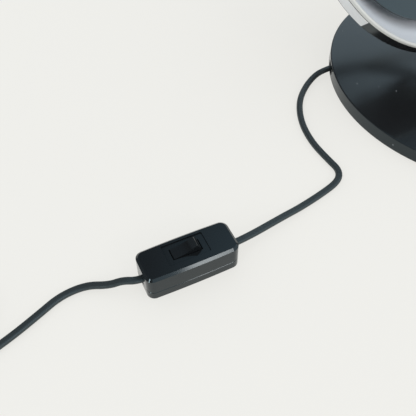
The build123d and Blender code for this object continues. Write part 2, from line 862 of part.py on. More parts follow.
dish_radius = head_radius - lip_width - groove_width
dish_bottom = lip_bottom - reflector_depth + reflector_wall
holder_spacing = tube_lamp_length + holder_length
with BuildPart() as reflector:
    with BuildSketch(head_section):
        with BuildLine():
            flange = head_radius - shell_wall - fit_gap
            drop = reflector_wall
            bow = (dish_radius * 0.5 + reflector_flat_radius * 0.5, dish_bottom * 0.58)
            Line((0, dish_bottom), (reflector_flat_radius, dish_bottom))
            ThreePointArc((reflector_flat_radius, dish_bottom), bow, (dish_radius, lip_bottom))
            Line((dish_radius, lip_bottom), (flange, lip_bottom))
            Line((flange, lip_bottom), (flange, lip_bottom - drop))
            Line((flange, lip_bottom - drop), (dish_radius + drop * 0.5, lip_bottom - drop))
            ThreePointArc(
                (dish_radius + drop * 0.5, lip_bottom - drop),
                (bow[0] + drop * 0.6, bow[1] - drop * 0.6),
                (reflector_flat_radius, dish_bottom - drop),
            )
            Line((reflector_flat_radius, dish_bottom - drop), (0, dish_bottom - drop))
            Line((0, dish_bottom - drop), (0, dish_bottom))
        make_face()
    revolve(axis=head_axis)
    with BuildSketch(head_plane.offset(dish_bottom - cut_margin / 2)):
        with PolarLocations(glare_post_circle, 3, start_angle=glare_post_start):
            Circle(glare_stud_radius + fit_gap)
        with GridLocations(holder_spacing, 0, 2, 1):
            Circle(holder_screw_radius + fit_gap)
    extrude(amount=cut_margin, mode=Mode.SUBTRACT)
save(reflector, "reflector")

disc_edge = rim_height - glare_disc_depth
disc_back = disc_edge - glare_disc_thickness
with BuildPart() as glare_disc:
    with BuildSketch(head_section):
        with BuildLine():
            middle = disc_edge + glare_disc_rise
            disc_sphere = (glare_disc_radius**2 / glare_disc_rise + glare_disc_rise) / 2
            RadiusArc((0, middle), (glare_disc_radius, disc_edge), disc_sphere)
            Line((glare_disc_radius, disc_edge), (glare_disc_radius, disc_back))
            RadiusArc((0, middle - glare_disc_thickness), (glare_disc_radius, disc_back), disc_sphere)
            Line((0, middle - glare_disc_thickness), (0, middle))
        make_face()
    revolve(axis=head_axis)
    with BuildSketch(head_plane.offset(disc_back)):
        with PolarLocations(glare_post_circle, 3, start_angle=glare_post_start):
            Circle(glare_stud_radius + fit_gap)
    extrude(amount=glare_disc_rise * 2 + glare_disc_thickness, mode=Mode.SUBTRACT)
save(glare_disc, "glare_disc")

post_share = (glare_post_circle + glare_post_radius) / glare_disc_radius
post_seat = disc_back + glare_disc_rise * (1 - post_share**2)
with BuildPart() as disc_posts:
    with BuildSketch(head_plane.offset(dish_bottom)):
        with PolarLocations(glare_post_circle, 3, start_angle=glare_post_start):
            Circle(glare_post_radius)
    extrude(amount=post_seat - seat_gap - dish_bottom)
    with BuildSketch(head_plane.offset(dish_bottom)):
        with PolarLocations(glare_post_circle, 3, start_angle=glare_post_start):
            Circle(glare_stud_radius)
    extrude(amount=-(reflector_wall + glare_nut_height))
    with BuildSketch(head_plane.offset(post_seat - seat_gap)):
        with PolarLocations(glare_post_circle, 3, start_angle=glare_post_start):
            Circle(glare_stud_radius * disc_screw_share)
    extrude(amount=-disc_screw_length, mode=Mode.SUBTRACT)
save(disc_posts, "disc_posts")

with BuildPart() as disc_nuts:
    with BuildSketch(head_plane.offset(dish_bottom - reflector_wall - glare_nut_height)):
        with PolarLocations(glare_post_circle, 3, start_angle=glare_post_start):
            RegularPolygon(glare_nut_flats / 2, 6, major_radius=False)
        with PolarLocations(glare_post_circle, 3, start_angle=glare_post_start):
            Circle(glare_stud_radius + fit_gap, mode=Mode.SUBTRACT)
    extrude(amount=glare_nut_height - fit_gap)
save(disc_nuts, "disc_nuts")

screw_share = (glare_post_circle - disc_screw_head_radius) / glare_disc_radius
screw_seat = disc_edge + glare_disc_rise * (1 - screw_share**2)
disc_screw_radius = glare_stud_radius * disc_screw_share
with BuildPart() as disc_screws:
    with BuildSketch(head_plane.offset(screw_seat + fit_gap)):
        with PolarLocations(glare_post_circle, 3, start_angle=glare_post_start):
            Circle(disc_screw_head_radius)
    extrude(amount=disc_screw_head_height)
    fillet(disc_screws.faces().sort_by(Axis(head_centre, face_normal))[-3:].edges(), disc_screw_head_height / 2)
    with BuildSketch(head_plane.offset(screw_seat + fit_gap)):
        with PolarLocations(glare_post_circle, 3, start_angle=glare_post_start):
            Circle(disc_screw_radius - fit_gap)
    extrude(amount=-(screw_seat - post_seat + disc_screw_length / 2))
save(disc_screws, "disc_screws")

# Lamp and its holders on the dish's flat
lamp_height = dish_bottom + holder_height - tube_lamp_radius
lamp_end = tube_lamp_length / 2
lamp_middle = head_centre + face_normal * lamp_height
with BuildPart() as lamp_tube:
    with BuildSketch(Plane(origin=lamp_middle, z_dir=tilt_axis)):
        Circle(tube_lamp_radius)
    extrude(amount=lamp_end - seat_gap, both=True)
    fillet(lamp_tube.edges().filter_by(GeomType.CIRCLE), tube_lamp_round)
    with BuildSketch(Plane(origin=lamp_middle, z_dir=tilt_axis)):
        Circle(tube_lamp_pip_radius)
    extrude(amount=lamp_end + tube_lamp_pip_length, both=True)
save(lamp_tube, "lamp_tube")

with BuildPart() as tube_holders:
    with BuildSketch(head_plane.offset(dish_bottom)):
        with GridLocations(holder_spacing, 0, 2, 1):
            Rectangle(holder_length, holder_width)
    extrude(amount=holder_height)
    chamfer(tube_holders.faces().sort_by(Axis(head_centre, face_normal))[-2:].edges(), holder_chamfer)
    with BuildSketch(Plane(origin=lamp_middle, z_dir=tilt_axis)):
        Circle(tube_lamp_pip_radius + fit_gap)
    extrude(amount=lamp_end + tube_lamp_pip_length + loose_gap, both=True, mode=Mode.SUBTRACT)
    with BuildSketch(head_plane.offset(dish_bottom)):
        with GridLocations(holder_spacing, 0, 2, 1):
            Circle(holder_screw_radius + fit_gap)
    extrude(amount=holder_screw_depth + seat_gap, mode=Mode.SUBTRACT)
save(tube_holders, "tube_holders")

with BuildPart() as holder_screws:
    with BuildSketch(head_plane.offset(dish_bottom + holder_screw_depth)):
        with GridLocations(holder_spacing, 0, 2, 1):
            Circle(holder_screw_radius)
    extrude(amount=-(holder_screw_depth + reflector_wall))
    with BuildSketch(head_plane.offset(dish_bottom - reflector_wall)):
        with GridLocations(holder_spacing, 0, 2, 1):
            Circle(holder_screw_radius * screw_head_ratio)
    extrude(amount=-holder_screw_radius)
save(holder_screws, "holder_screws")

with BuildPart() as lead_grommet:
    with BuildSketch(head_plane.offset(-shell_depth - grommet_flange)):
        Circle(grommet_radius + grommet_flange)
    extrude(amount=grommet_flange)
    with BuildSketch(head_plane.offset(-shell_depth)):
        Circle(grommet_radius - seat_gap)
    extrude(amount=shell_wall)
    with BuildSketch(head_plane.offset(-shell_depth + shell_wall)):
        Circle(grommet_radius + grommet_flange)
    extrude(amount=grommet_flange)
    with BuildSketch(head_plane.offset(-shell_depth - grommet_flange)):
        Circle(grommet_bore)
    extrude(amount=shell_wall + 2 * grommet_flange, mode=Mode.SUBTRACT)
save(lead_grommet, "lead_grommet")

strip_top = lip_bottom - strip_edge_gap
strip_outward = tilt_axis.rotate(Axis((0, 0, 0), face_normal), strip_start)
with BuildPart() as rating_strip:
    with BuildSketch(Plane(origin=head_centre, x_dir=strip_outward, z_dir=strip_outward.cross(face_normal))):
        with Locations((head_radius + fit_gap + strip_thickness / 2, strip_top - strip_width / 2)):
            Rectangle(strip_thickness, strip_width)
    revolve(axis=head_axis, revolution_arc=strip_end - strip_start)
save(rating_strip, "rating_strip")


# In-line switch
def switch_point(along, across, height):
    """A point given in the switch's own frame."""
    return switch_plane.from_local_coords(Vector(along, across, height))


def case_outline(inset):
    """The switch's outline seen from above, drawn smaller by an inset."""
    half_length = switch_length / 2 - inset
    half_width = switch_width / 2 - inset
    ThreePointArc((-half_length, -half_width), (0, -half_width - switch_bulge), (half_length, -half_width))
    Line((half_length, -half_width), (half_length, half_width))
    ThreePointArc((half_length, half_width), (0, half_width + switch_bulge), (-half_length, half_width))
    Line((-half_length, half_width), (-half_length, -half_width))


switch_bar_spacing = switch_length - 2 * switch_bar_setback
switch_cord_end = switch_length / 2 - switch_cord_inside
switch_side = Plane(origin=switch_point(0, 0, switch_cord_height), x_dir=switch_plane.y_dir, z_dir=switch_plane.x_dir)
inner_corner = switch_corner - switch_wall

with BuildPart() as switch_bottom:
    with BuildSketch(switch_plane):
        with BuildLine():
            case_outline(0)
        make_face()
        fillet(vertices(), switch_corner)
    extrude(amount=switch_seam)
    fillet(switch_bottom.faces().sort_by(Axis.Z)[0].edges(), switch_foot_round)
    chamfer(switch_bottom.faces().sort_by(Axis.Z)[-1].edges(), seam_chamfer)
    with BuildSketch(switch_plane.offset(switch_floor)):
        with BuildLine():
            case_outline(switch_wall)
        make_face()
        fillet(vertices(), inner_corner)
    extrude(amount=switch_seam, mode=Mode.SUBTRACT)
    with BuildSketch(switch_plane.offset(switch_floor)):
        with Locations((case_screw_x, case_screw_y), (-case_screw_x, -case_screw_y)):
            Circle(case_post_radius)
        with GridLocations(switch_bar_spacing, 0, 2, 1):
            Rectangle(switch_bar_length, switch_bar_width)
    extrude(amount=switch_seam - switch_floor)
    with BuildSketch(switch_plane):
        with Locations((case_screw_x, case_screw_y), (-case_screw_x, -case_screw_y)):
            Circle(case_screw_head_radius + seat_gap)
    extrude(amount=case_screw_head_height + seat_gap * 2, mode=Mode.SUBTRACT)
    with BuildSketch(switch_plane):
        with Locations((case_screw_x, case_screw_y), (-case_screw_x, -case_screw_y)):
            Circle(case_screw_radius + fit_gap)
    extrude(amount=switch_height, mode=Mode.SUBTRACT)
    with BuildSketch(switch_plane.offset(switch_seam - bar_screw_depth)):
        with GridLocations(switch_bar_spacing, bar_screw_offset * 2, 2, 2):
            Circle(bar_screw_radius + fit_gap)
    extrude(amount=bar_screw_depth, mode=Mode.SUBTRACT)
    with BuildSketch(switch_side):
        Circle(cord_radius + switch_hole_gap)
    extrude(amount=switch_length, both=True, mode=Mode.SUBTRACT)
save(switch_bottom, "switch_bottom")

pin_plane = Plane(
    origin=switch_point(rocker_along, rocker_across, rocker_pin_height),
    x_dir=switch_plane.x_dir,
    z_dir=switch_plane.y_dir,
)
opening_half = sqrt(rocker_swing_radius**2 - (switch_ceiling - rocker_pin_height) ** 2) + loose_gap
with BuildPart() as switch_top:
    with BuildSketch(switch_plane.offset(switch_seam)):
        with BuildLine():
            case_outline(0)
        make_face()
        fillet(vertices(), switch_corner)
    extrude(amount=switch_height - switch_seam)
    chamfer(switch_top.faces().sort_by(Axis.Z)[-1].edges(), switch_bevel)
    chamfer(switch_top.faces().sort_by(Axis.Z)[0].edges(), seam_chamfer)
    with BuildSketch(switch_plane.offset(switch_seam)):
        with BuildLine():
            case_outline(switch_wall)
        make_face()
        fillet(vertices(), inner_corner)
    extrude(amount=switch_ceiling - switch_seam, mode=Mode.SUBTRACT)
    with BuildSketch(switch_plane.offset(switch_height)):
        with Locations((rocker_along, rocker_across)):
            RectangleRounded(well_length, well_width, well_corner)
    extrude(amount=-well_depth, mode=Mode.SUBTRACT)
    with BuildSketch(switch_plane.offset(switch_ceiling)):
        with Locations((rocker_along, rocker_across)):
            Rectangle(opening_half * 2, rocker_width + 2 * loose_gap)
    extrude(amount=switch_height - switch_ceiling, mode=Mode.SUBTRACT)
    with BuildSketch(switch_plane.offset(switch_seam)):
        with Locations((case_screw_x, case_screw_y), (-case_screw_x, -case_screw_y)):
            Circle(case_boss_radius)
    extrude(amount=switch_ceiling - switch_seam)
    for ear_side in (-1, 1):
        ear_start = rocker_across + ear_side * (rocker_width / 2 + loose_gap)
        ear_plane = Plane(
            origin=switch_point(rocker_along, ear_start, rocker_pin_height),
            x_dir=switch_plane.x_dir,
            z_dir=switch_plane.y_dir * ear_side,
        )
        with BuildSketch(ear_plane):
            Circle(rocker_ear_radius)
            with Locations((0, ear_side * -(switch_ceiling - rocker_pin_height) / 2)):
                Rectangle(rocker_ear_radius * 2, switch_ceiling - rocker_pin_height)
        extrude(amount=rocker_ear_thickness)
    with BuildSketch(pin_plane):
        Circle(rocker_pin_radius + fit_gap)
    extrude(amount=rocker_width / 2 + loose_gap + rocker_ear_thickness, both=True, mode=Mode.SUBTRACT)
    with BuildSketch(switch_plane.offset(switch_seam)):
        with Locations((case_screw_x, case_screw_y), (-case_screw_x, -case_screw_y)):
            Circle(case_screw_radius + fit_gap)
    extrude(amount=case_screw_length - switch_seam + case_screw_head_height, mode=Mode.SUBTRACT)
    with BuildSketch(switch_side):
        Circle(cord_radius + switch_hole_gap)
    extrude(amount=switch_length, both=True, mode=Mode.SUBTRACT)
save(switch_top, "switch_top")

# The rocker rests with its lamp side up and its other side sunk
rocker_rest = rocker_travel / 2
rocker_up = switch_plane.z_dir * cos(radians(rocker_rest)) - switch_plane.x_dir * sin(radians(rocker_rest))
rocker_plane = Plane(
    origin=pin_plane.origin - switch_plane.y_dir * (rocker_width / 2),
    x_dir=rocker_up.cross(switch_plane.y_dir) * -1,
    z_dir=-switch_plane.y_dir,
)
rocker_half = sqrt(rocker_swing_radius**2 - rocker_rise**2)
rocker_low_half = sqrt(rocker_swing_radius**2 - rocker_drop**2)
with BuildPart() as switch_rocker:
    with BuildSketch(rocker_plane):
        with BuildLine():
            ThreePointArc((-rocker_half, rocker_rise), (0, rocker_rise - rocker_dish), (rocker_half, rocker_rise))
            ThreePointArc((rocker_half, rocker_rise), (rocker_swing_radius, 0), (rocker_low_half, -rocker_drop))
            Line((rocker_low_half, -rocker_drop), (-rocker_low_half, -rocker_drop))
            ThreePointArc((-rocker_low_half, -rocker_drop), (-rocker_swing_radius, 0), (-rocker_half, rocker_rise))
        make_face()
        Circle(rocker_pin_radius + fit_gap, mode=Mode.SUBTRACT)
    extrude(amount=-rocker_width)
save(switch_rocker, "switch_rocker")

with BuildPart() as rocker_pin:
    with BuildSketch(pin_plane):
        Circle(rocker_pin_radius)
    extrude(amount=rocker_width / 2 + loose_gap + rocker_ear_thickness, both=True)
save(rocker_pin, "rocker_pin")

terminal_spacing = 2 * switch_cord_end - terminal_block_length
with BuildPart() as switch_terminals:
    with BuildSketch(switch_plane.offset(switch_floor)):
        with GridLocations(terminal_spacing, 0, 2, 1):
            Rectangle(terminal_block_length, terminal_block_width)
    extrude(amount=terminal_block_height)
    with BuildSketch(switch_plane.offset(switch_floor + terminal_block_height)):
        with GridLocations(terminal_spacing, terminal_block_width / 2, 2, 2):
            Circle(bar_screw_radius * screw_head_ratio)
    extrude(amount=-contact_thickness, mode=Mode.SUBTRACT)
save(switch_terminals, "switch_terminals")

contact_height = rocker_pin_height - rocker_drop - contact_drop
blade_outer = switch_cord_end - terminal_block_length
with BuildPart() as switch_contacts:
    with BuildSketch(switch_plane.offset(contact_height)):
        with GridLocations(2 * blade_outer - contact_reach, 0, 2, 1):
            Rectangle(contact_reach, contact_width)
    extrude(amount=-contact_thickness)
save(switch_contacts, "switch_contacts")

bar_bottom = switch_seam + seat_gap * 2
with BuildPart() as switch_cord_bars:
    with BuildSketch(switch_plane.offset(bar_bottom)):
        with GridLocations(switch_bar_spacing, 0, 2, 1):
            Rectangle(switch_bar_length, switch_bar_width)
    extrude(amount=switch_bar_height)
    with BuildSketch(switch_side):
        Circle(cord_radius + fit_gap)
    extrude(amount=switch_length, both=True, mode=Mode.SUBTRACT)
    with BuildSketch(switch_plane.offset(bar_bottom)):
        with GridLocations(switch_bar_spacing, bar_screw_offset * 2, 2, 2):
            Circle(bar_screw_radius + fit_gap)
    extrude(amount=switch_bar_height, mode=Mode.SUBTRACT)
save(switch_cord_bars, "switch_cord_bars")

with BuildPart() as switch_screws:
    with BuildSketch(switch_plane.offset(seat_gap)):
        with Locations((case_screw_x, case_screw_y), (-case_screw_x, -case_screw_y)):
            Circle(case_screw_head_radius)
    extrude(amount=case_screw_head_height)
    with BuildSketch(switch_plane.offset(seat_gap + case_screw_head_height)):
        with Locations((case_screw_x, case_screw_y), (-case_screw_x, -case_screw_y)):
            Circle(case_screw_radius)
    extrude(amount=case_screw_length - case_screw_head_height)
    with BuildSketch(switch_plane.offset(bar_bottom + switch_bar_height)):
        with GridLocations(switch_bar_spacing, bar_screw_offset * 2, 2, 2):
            Circle(bar_screw_head_radius)
    extrude(amount=bar_screw_radius)
    with BuildSketch(switch_plane.offset(bar_bottom + switch_bar_height)):
        with GridLocations(switch_bar_spacing, bar_screw_offset * 2, 2, 2):
            Circle(bar_screw_radius)
    extrude(amount=-(switch_bar_height + bar_screw_depth - loose_gap))
save(switch_screws, "switch_screws")


# Cord
def bend_radii(points):
    """A bend's radius at each inner point, from its shorter run and half its turn."""
    radii = []
    for before, here, after in zip(points, points[1:], points[2:]):
        arriving = here - before
        leaving = after - here
        half_turn = radians(arriving.get_angle(leaving)) / 2
        radii.append(cord_bend_share * min(arriving.length, leaving.length) / tan(half_turn))
    return radii


def cord_run(points, name):
    """One lying run of cord, straight between its points and round at each of them."""
    points = [Vector(*point) for point in points]
    radii = bend_radii(points)
    with BuildPart() as run:
        with BuildLine() as route:
            FilletPolyline(*points, radius=radii)
        with BuildSketch(Plane(origin=points[0], z_dir=points[1] - points[0])):
            Circle(cord_radius)
        sweep()
    length = route.wire().length
    share = run.part.volume / (pi * cord_radius**2 * length)
    print(name, "length", round(length, 1), "bends", [round(r, 1) for r in radii], "volume share", round(share, 4))
    save(run, name)
    return length


lamp_side_start = outlet_point + outlet_inward * clamp_depth + Vector(0, 0, outlet_cord_height)
lamp_side_length = cord_run(
    [
        lamp_side_start,
        lamp_side_start - outlet_inward * (clamp_depth + outlet_cord_run),
        *lamp_side_points,
        switch_point(switch_cord_end + switch_lamp_run, 0, switch_cord_height),
        switch_point(switch_cord_end, 0, switch_cord_height),
    ],
    "cord_lamp_to_switch",
)


def coil_node(turns):
    """Place and direction on the coil after a number of turns from its start."""
    middle = coil_spiral_turns + coil_climb_turns / 2
    inward = min(turns, 2 * middle - turns)
    radius = coil_outer_radius - coil_pitch * inward
    closing = -coil_pitch if turns < middle - 0.01 else coil_pitch
    if abs(turns - middle) < 0.01:
        closing = 0
    climbed = min(max((turns - coil_spiral_turns) / coil_climb_turns, 0), 1)
    height = cord_radius + coil_lift * (1 - cos(pi * climbed)) / 2
    climbing = coil_lift * pi * sin(pi * climbed) / 2 / coil_climb_turns
    outward = heading(coil_start_angle - 360 * turns)
    onward = outward.cross(Vector(0, 0, 1))
    place = Vector(coil_x, coil_y, height) + outward * radius
    direction = (outward * closing + onward * 2 * pi * radius + Vector(0, 0, climbing)).normalized()
    return place, direction


def biarc(start, start_direction, end, end_direction):
    """Two tangent arcs between two places on the coil."""
    chord = end - start
    total = start_direction + end_direction
    along = chord.dot(total)
    room = 4 - total.dot(total)
    reach = (sqrt(along**2 + room * chord.dot(chord)) - along) / room
    first = start + start_direction * reach
    last = end - end_direction * reach
    join = (first + last) * 0.5
    TangentArc(start, join, tangent=start_direction)
    TangentArc(join, end, tangent=(last - first).normalized())


quarter_turns = int(coil_spiral_turns * 4)
coil_steps = [step / 4 for step in range(quarter_turns + 1)]
coil_steps.append(coil_spiral_turns)
coil_steps.append(coil_spiral_turns + coil_climb_turns / 2)
coil_all_turns = 2 * coil_spiral_turns + coil_climb_turns
coil_steps.extend([coil_all_turns - step for step in reversed(coil_steps[:-1])])
coil_nodes = [coil_node(step) for step in coil_steps]
coil_start, coil_start_direction = coil_nodes[0]
coil_end, coil_end_direction = coil_nodes[-1]
coil_first = coil_start - coil_start_direction * coil_end_straight
coil_last = coil_end + coil_end_direction * coil_end_straight

with BuildPart() as cord_coil:
    with BuildLine() as coil_route:
        Line(coil_first, coil_start)
        for (start, start_direction), (end, end_direction) in zip(coil_nodes, coil_nodes[1:]):
            biarc(start, start_direction, end, end_direction)
        Line(coil_end, coil_last)
    with BuildSketch(Plane(origin=coil_first, z_dir=coil_start_direction)):
        Circle(cord_radius)
    sweep()
coil_wire = coil_route.wire()
coil_length = coil_wire.length
save(cord_coil, "cord_coil")

# The coil's least gap to itself, over points that lie more than half a turn apart
sample_count = int(coil_length)
samples = [coil_wire.position_at(index / sample_count) for index in range(sample_count + 1)]
apart = int(coil_outer_radius)
least = min(
    (samples[first] - samples[second]).length
    for first in range(len(samples))
    for second in range(first + apart, len(samples))
)
coil_share = cord_coil.part.volume / (pi * cord_radius**2 * coil_length)
print("cord_coil length", round(coil_length, 1), "volume share", round(coil_share, 4))
print("cord_coil least gap to itself", round(least - cord_diameter, 2))

coil_side_length = cord_run(
    [
        switch_point(-switch_cord_end, 0, switch_cord_height),
        switch_point(-switch_cord_end - switch_coil_run, 0, switch_cord_height),
        *coil_side_points,
        coil_first - coil_start_direction * coil_arriving_run,
        coil_first,
    ],
    "cord_switch_to_coil",
)
plug_side_length = cord_run(
    [coil_last, coil_last + coil_end_direction * coil_leaving_run, *plug_side_points],
    "cord_coil_to_plug",
)
cord_length = lamp_side_length + switch_cord_end * 2 + coil_side_length + coil_length + plug_side_length
print("cord from the base's clamp to the plug", round(cord_length, 1))

# Plug, lying flat at the cord's end
plug_tail = Vector(*plug_side_points[-1])
last_run = plug_tail - Vector(*plug_side_points[-2])
plug_direction = Vector(last_run.X, last_run.Y, 0).normalized()
plug_plane = Plane(origin=plug_tail, x_dir=plug_direction, z_dir=(0, 0, 1))
plug_face = relief_length + plug_length
pin_plane = Plane(origin=plug_tail + plug_direction * plug_face, x_dir=plug_plane.y_dir, z_dir=plug_direction)
with BuildPart() as plug_body:
    with BuildSketch(plug_plane.offset(-plug_thickness / 2)):
        with BuildLine():
            Polyline(
                (relief_length, -plug_nose_width / 2),
                (relief_length + plug_shoulder, -plug_width / 2),
                (plug_face, -plug_width / 2),
                (plug_face, plug_width / 2),
                (relief_length + plug_shoulder, plug_width / 2),
                (relief_length, plug_nose_width / 2),
                close=True,
            )
        make_face()
        fillet(vertices(), plug_round)
    extrude(amount=plug_thickness)
    fillet(plug_body.faces().group_by(Axis.Z)[-1].edges(), plug_round)
    fillet(plug_body.faces().group_by(Axis.Z)[0].edges(), plug_round)
    with BuildSketch(Plane(origin=plug_tail, z_dir=plug_direction)):
        Circle(relief_tip_radius)
    with BuildSketch(Plane(origin=plug_tail + plug_direction * (relief_length + relief_root), z_dir=plug_direction)):
        Circle(relief_radius)
    loft()
    with BuildSketch(pin_plane):
        with GridLocations(plug_pin_spacing, 0, 2, 1):
            Circle(plug_pin_core + fit_gap)
    extrude(amount=-plug_pin_root, mode=Mode.SUBTRACT)
    with BuildSketch(pin_plane):
        with GridLocations(plug_pin_spacing, 0, 2, 1):
            Circle(plug_pin_radius)
        with GridLocations(plug_pin_spacing, 0, 2, 1):
            Circle(plug_pin_core + fit_gap, mode=Mode.SUBTRACT)
    extrude(amount=plug_sleeve_length)
save(plug_body, "plug_body")

with BuildPart() as plug_pins:
    with BuildSketch(pin_plane.offset(plug_sleeve_length)):
        with GridLocations(plug_pin_spacing, 0, 2, 1):
            Circle(plug_pin_radius)
    extrude(amount=plug_pin_length - plug_sleeve_length)
    fillet(plug_pins.faces().sort_by(Axis(plug_tail, plug_direction))[-2:].edges(), plug_pin_round)
    with BuildSketch(pin_plane.offset(-plug_pin_root)):
        with GridLocations(plug_pin_spacing, 0, 2, 1):
            Circle(plug_pin_core)
    extrude(amount=plug_pin_root + plug_sleeve_length)
save(plug_pins, "plug_pins")
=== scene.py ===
"""Looks of a desk lamp: flat cord, rocker switch, weighted base and a dish head on a swing arm."""

import json
import math

import bpy
import bmesh
from bpy.props import FloatProperty, FloatVectorProperty, IntProperty, PointerProperty
from mathutils import Matrix, Vector


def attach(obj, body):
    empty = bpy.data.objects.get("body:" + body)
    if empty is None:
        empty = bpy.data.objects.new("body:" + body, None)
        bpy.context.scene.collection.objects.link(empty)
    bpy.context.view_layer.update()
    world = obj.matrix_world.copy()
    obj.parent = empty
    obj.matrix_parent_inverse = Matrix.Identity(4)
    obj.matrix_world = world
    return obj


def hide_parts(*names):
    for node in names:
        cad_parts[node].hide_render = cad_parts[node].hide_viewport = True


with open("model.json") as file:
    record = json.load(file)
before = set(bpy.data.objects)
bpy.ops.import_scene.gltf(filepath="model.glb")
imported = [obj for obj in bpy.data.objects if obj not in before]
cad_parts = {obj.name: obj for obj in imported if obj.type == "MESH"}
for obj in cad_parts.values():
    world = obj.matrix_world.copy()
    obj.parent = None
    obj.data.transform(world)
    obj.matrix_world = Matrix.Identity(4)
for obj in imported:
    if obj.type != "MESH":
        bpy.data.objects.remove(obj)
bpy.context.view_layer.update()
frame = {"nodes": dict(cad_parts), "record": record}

bl_info = {
    "name": "Desk Lamp Finisher",
    "version": (1, 0, 0),
    "blender": (4, 5, 0),
    "location": "View3D > Sidebar > Lamp",
    "description": "Dresses a swing arm desk lamp with its cord, its finishes and a plain studio",
    "category": "Object",
}

# The camera, at the photograph's viewing angle, with lengths in metres and angles in degrees
PHOTO_SIDE = 416
FOCAL_PIXELS = 578.48
SENSOR_WIDTH = 36.0
CAMERA_PLACE = (-0.2193, -0.378, 0.2985)
CAMERA_DOWN = 51.064
CAMERA_ROLL = -0.137
HALF_PIXEL = 0.5 / PHOTO_SIDE
CLIP_NEAR = 0.01
CLIP_FAR = 50

# The switch's middle and turn, the height of its cord, how far from its middle the cord ends inside it,
# and the straight run of cord at each end
SWITCH_PLACE = (-0.2317, -0.1838)
SWITCH_TURN = math.radians(25.2)
SWITCH_CORD_HEIGHT = 0.0075
SWITCH_CORD_END = 0.02095
SWITCH_LAMP_RUN = 0.015
SWITCH_COIL_RUN = 0.011

# The cord's control points from the base to the switch, and from the switch to the coil and the plug
CORD_EXIT = (-0.1132, 0.0090, 0.0052)
LAMP_SIDE_POINTS = [
    (-0.1258, 0.0028, 0.0050),
    (-0.1339, -0.0021, 0.0030),
    (-0.1428, -0.0156, 0.0022),
    (-0.1493, -0.0333, 0.0022),
    (-0.1499, -0.0557, 0.0022),
    (-0.1444, -0.0768, 0.0022),
    (-0.1348, -0.0943, 0.0022),
    (-0.1282, -0.1048, 0.0022),
    (-0.1305, -0.1149, 0.0022),
    (-0.1433, -0.1262, 0.0022),
    (-0.1596, -0.1386, 0.0024),
    (-0.1699, -0.1463, 0.0042),
]
COIL_SIDE_POINTS = [
    (-0.2698, -0.1976, 0.0082),
    (-0.2779, -0.1992, 0.0056),
    (-0.2923, -0.1974, 0.0026),
    (-0.3065, -0.2046, 0.0022),
    (-0.3166, -0.2162, 0.0022),
    (-0.3290, -0.2298, 0.0022),
]
PLUG_SIDE_POINTS = [
    (-0.4330, -0.2363, 0.00685),
    (-0.4420, -0.2292, 0.00685),
]

# The put-away coil: a spiral in on the floor, a climb, and a spiral out on top
COIL_CENTRE = (-0.385, -0.229)
COIL_START_ANGLE = math.radians(-46.2)
COIL_OUTER_RADIUS = 0.0380
COIL_PITCH = 0.0054
COIL_LOW = 0.0024
COIL_LIFT = 0.0053
COIL_SPIRAL_TURNS = 3.375
COIL_CLIMB_TURNS = 0.5
COIL_STEPS_PER_TURN = 16
COIL_ARRIVING_RUN = 0.017
COIL_LEAVING_RUN = 0.011
COIL_END_STRAIGHT = 0.0048
COIL_SMALL_STEP = 0.01

# The flat cord's section: how quickly its cores part, and the groove's share of its width
CORE_SPREAD = 2.2
GROOVE_SHARE = 0.11

# The spline that each run of cord follows
ROUTE_RESOLUTION = 10
ROUTE_ORDER = 3

# The floor: its side, how far it lies under the felt, its plain colour, and the one beneath its own glow
FLOOR_SIDE = 12
FLOOR_DROP = 0.0001
FLOOR_COLOR = (0.7, 0.7, 0.68, 1)
FLOOR_SHADOW_COLOR = (0.16, 0.16, 0.155, 1)

# The mirrored room: it darkens between two heights and brightens overhead. It dims to one side, given as
# a place across and the strength there.
ROOM_LOW_HEIGHT = 0.65
ROOM_HIGH_HEIGHT = 0.70
ROOM_TOP_HEIGHT = 0.82
ROOM_DIM_SIDE = (-0.10, 0.2)
ROOM_FULL_SIDE = (0.05, 1.0)

# Rectangular soft lights: name, place, target, width and height, power and colour
SOFT_LIGHTS = (
    ("front_light", (0.580, -1.055, 0.755), (-0.215, -0.187, 0.019), (0.23, 0.22), 1.9, (1.0, 0.82, 0.78)),
    ("left_light", (-1.148, -1.322, 0.742), (-0.258, -0.205, 0.019), (0.20, 0.20), 2.2, (0.97, 0.99, 1.0)),
)


class LampCordSettings(bpy.types.PropertyGroup):
    """Sizes of the flat cord"""

    width: FloatProperty(
        name="Width", description="Width of the flat cord", default=0.0048, min=0.002, max=0.01,
        unit="LENGTH", precision=4,
    )
    thickness: FloatProperty(
        name="Thickness", description="Thickness of the flat cord", default=0.0038, min=0.001, max=0.01,
        unit="LENGTH", precision=4,
    )
    groove: FloatProperty(
        name="Groove", description="Depth of the groove between the two cores", default=0.00025, min=0.0,
        max=0.001, unit="LENGTH", precision=5,
    )
    sides: IntProperty(name="Sides", description="Faces round the cord", default=28, min=8, max=64)


class LampFinishSettings(bpy.types.PropertyGroup):
    """Colours of the lamp's finishes"""

    paint: FloatVectorProperty(
        name="Base paint", description="Satin paint on the base and the head's back", subtype="COLOR", size=3,
        min=0, max=1, default=(0.0115, 0.0122, 0.0130),
    )
    plastic: FloatVectorProperty(
        name="Black plastic", description="Glossy plastic of the switch and the plug", subtype="COLOR",
        size=3, min=0, max=1, default=(0.0080, 0.0088, 0.0095),
    )
    cord: FloatVectorProperty(
        name="Cord", description="Soft plastic of the cord", subtype="COLOR", size=3, min=0, max=1,
        default=(0.022, 0.025, 0.025),
    )
    dish: FloatVectorProperty(
        name="Dish white", description="White paint inside the dish", subtype="COLOR", size=3, min=0, max=1,
        default=(0.65, 0.685, 0.72),
    )
    lip: FloatVectorProperty(
        name="Lip cream", description="Cream ring round the dish", subtype="COLOR", size=3, min=0, max=1,
        default=(0.57, 0.57, 0.535),
    )
    label: FloatVectorProperty(
        name="Strip grey", description="Bare strip on the head's band", subtype="COLOR", size=3, min=0, max=1,
        default=(0.66, 0.66, 0.65),
    )


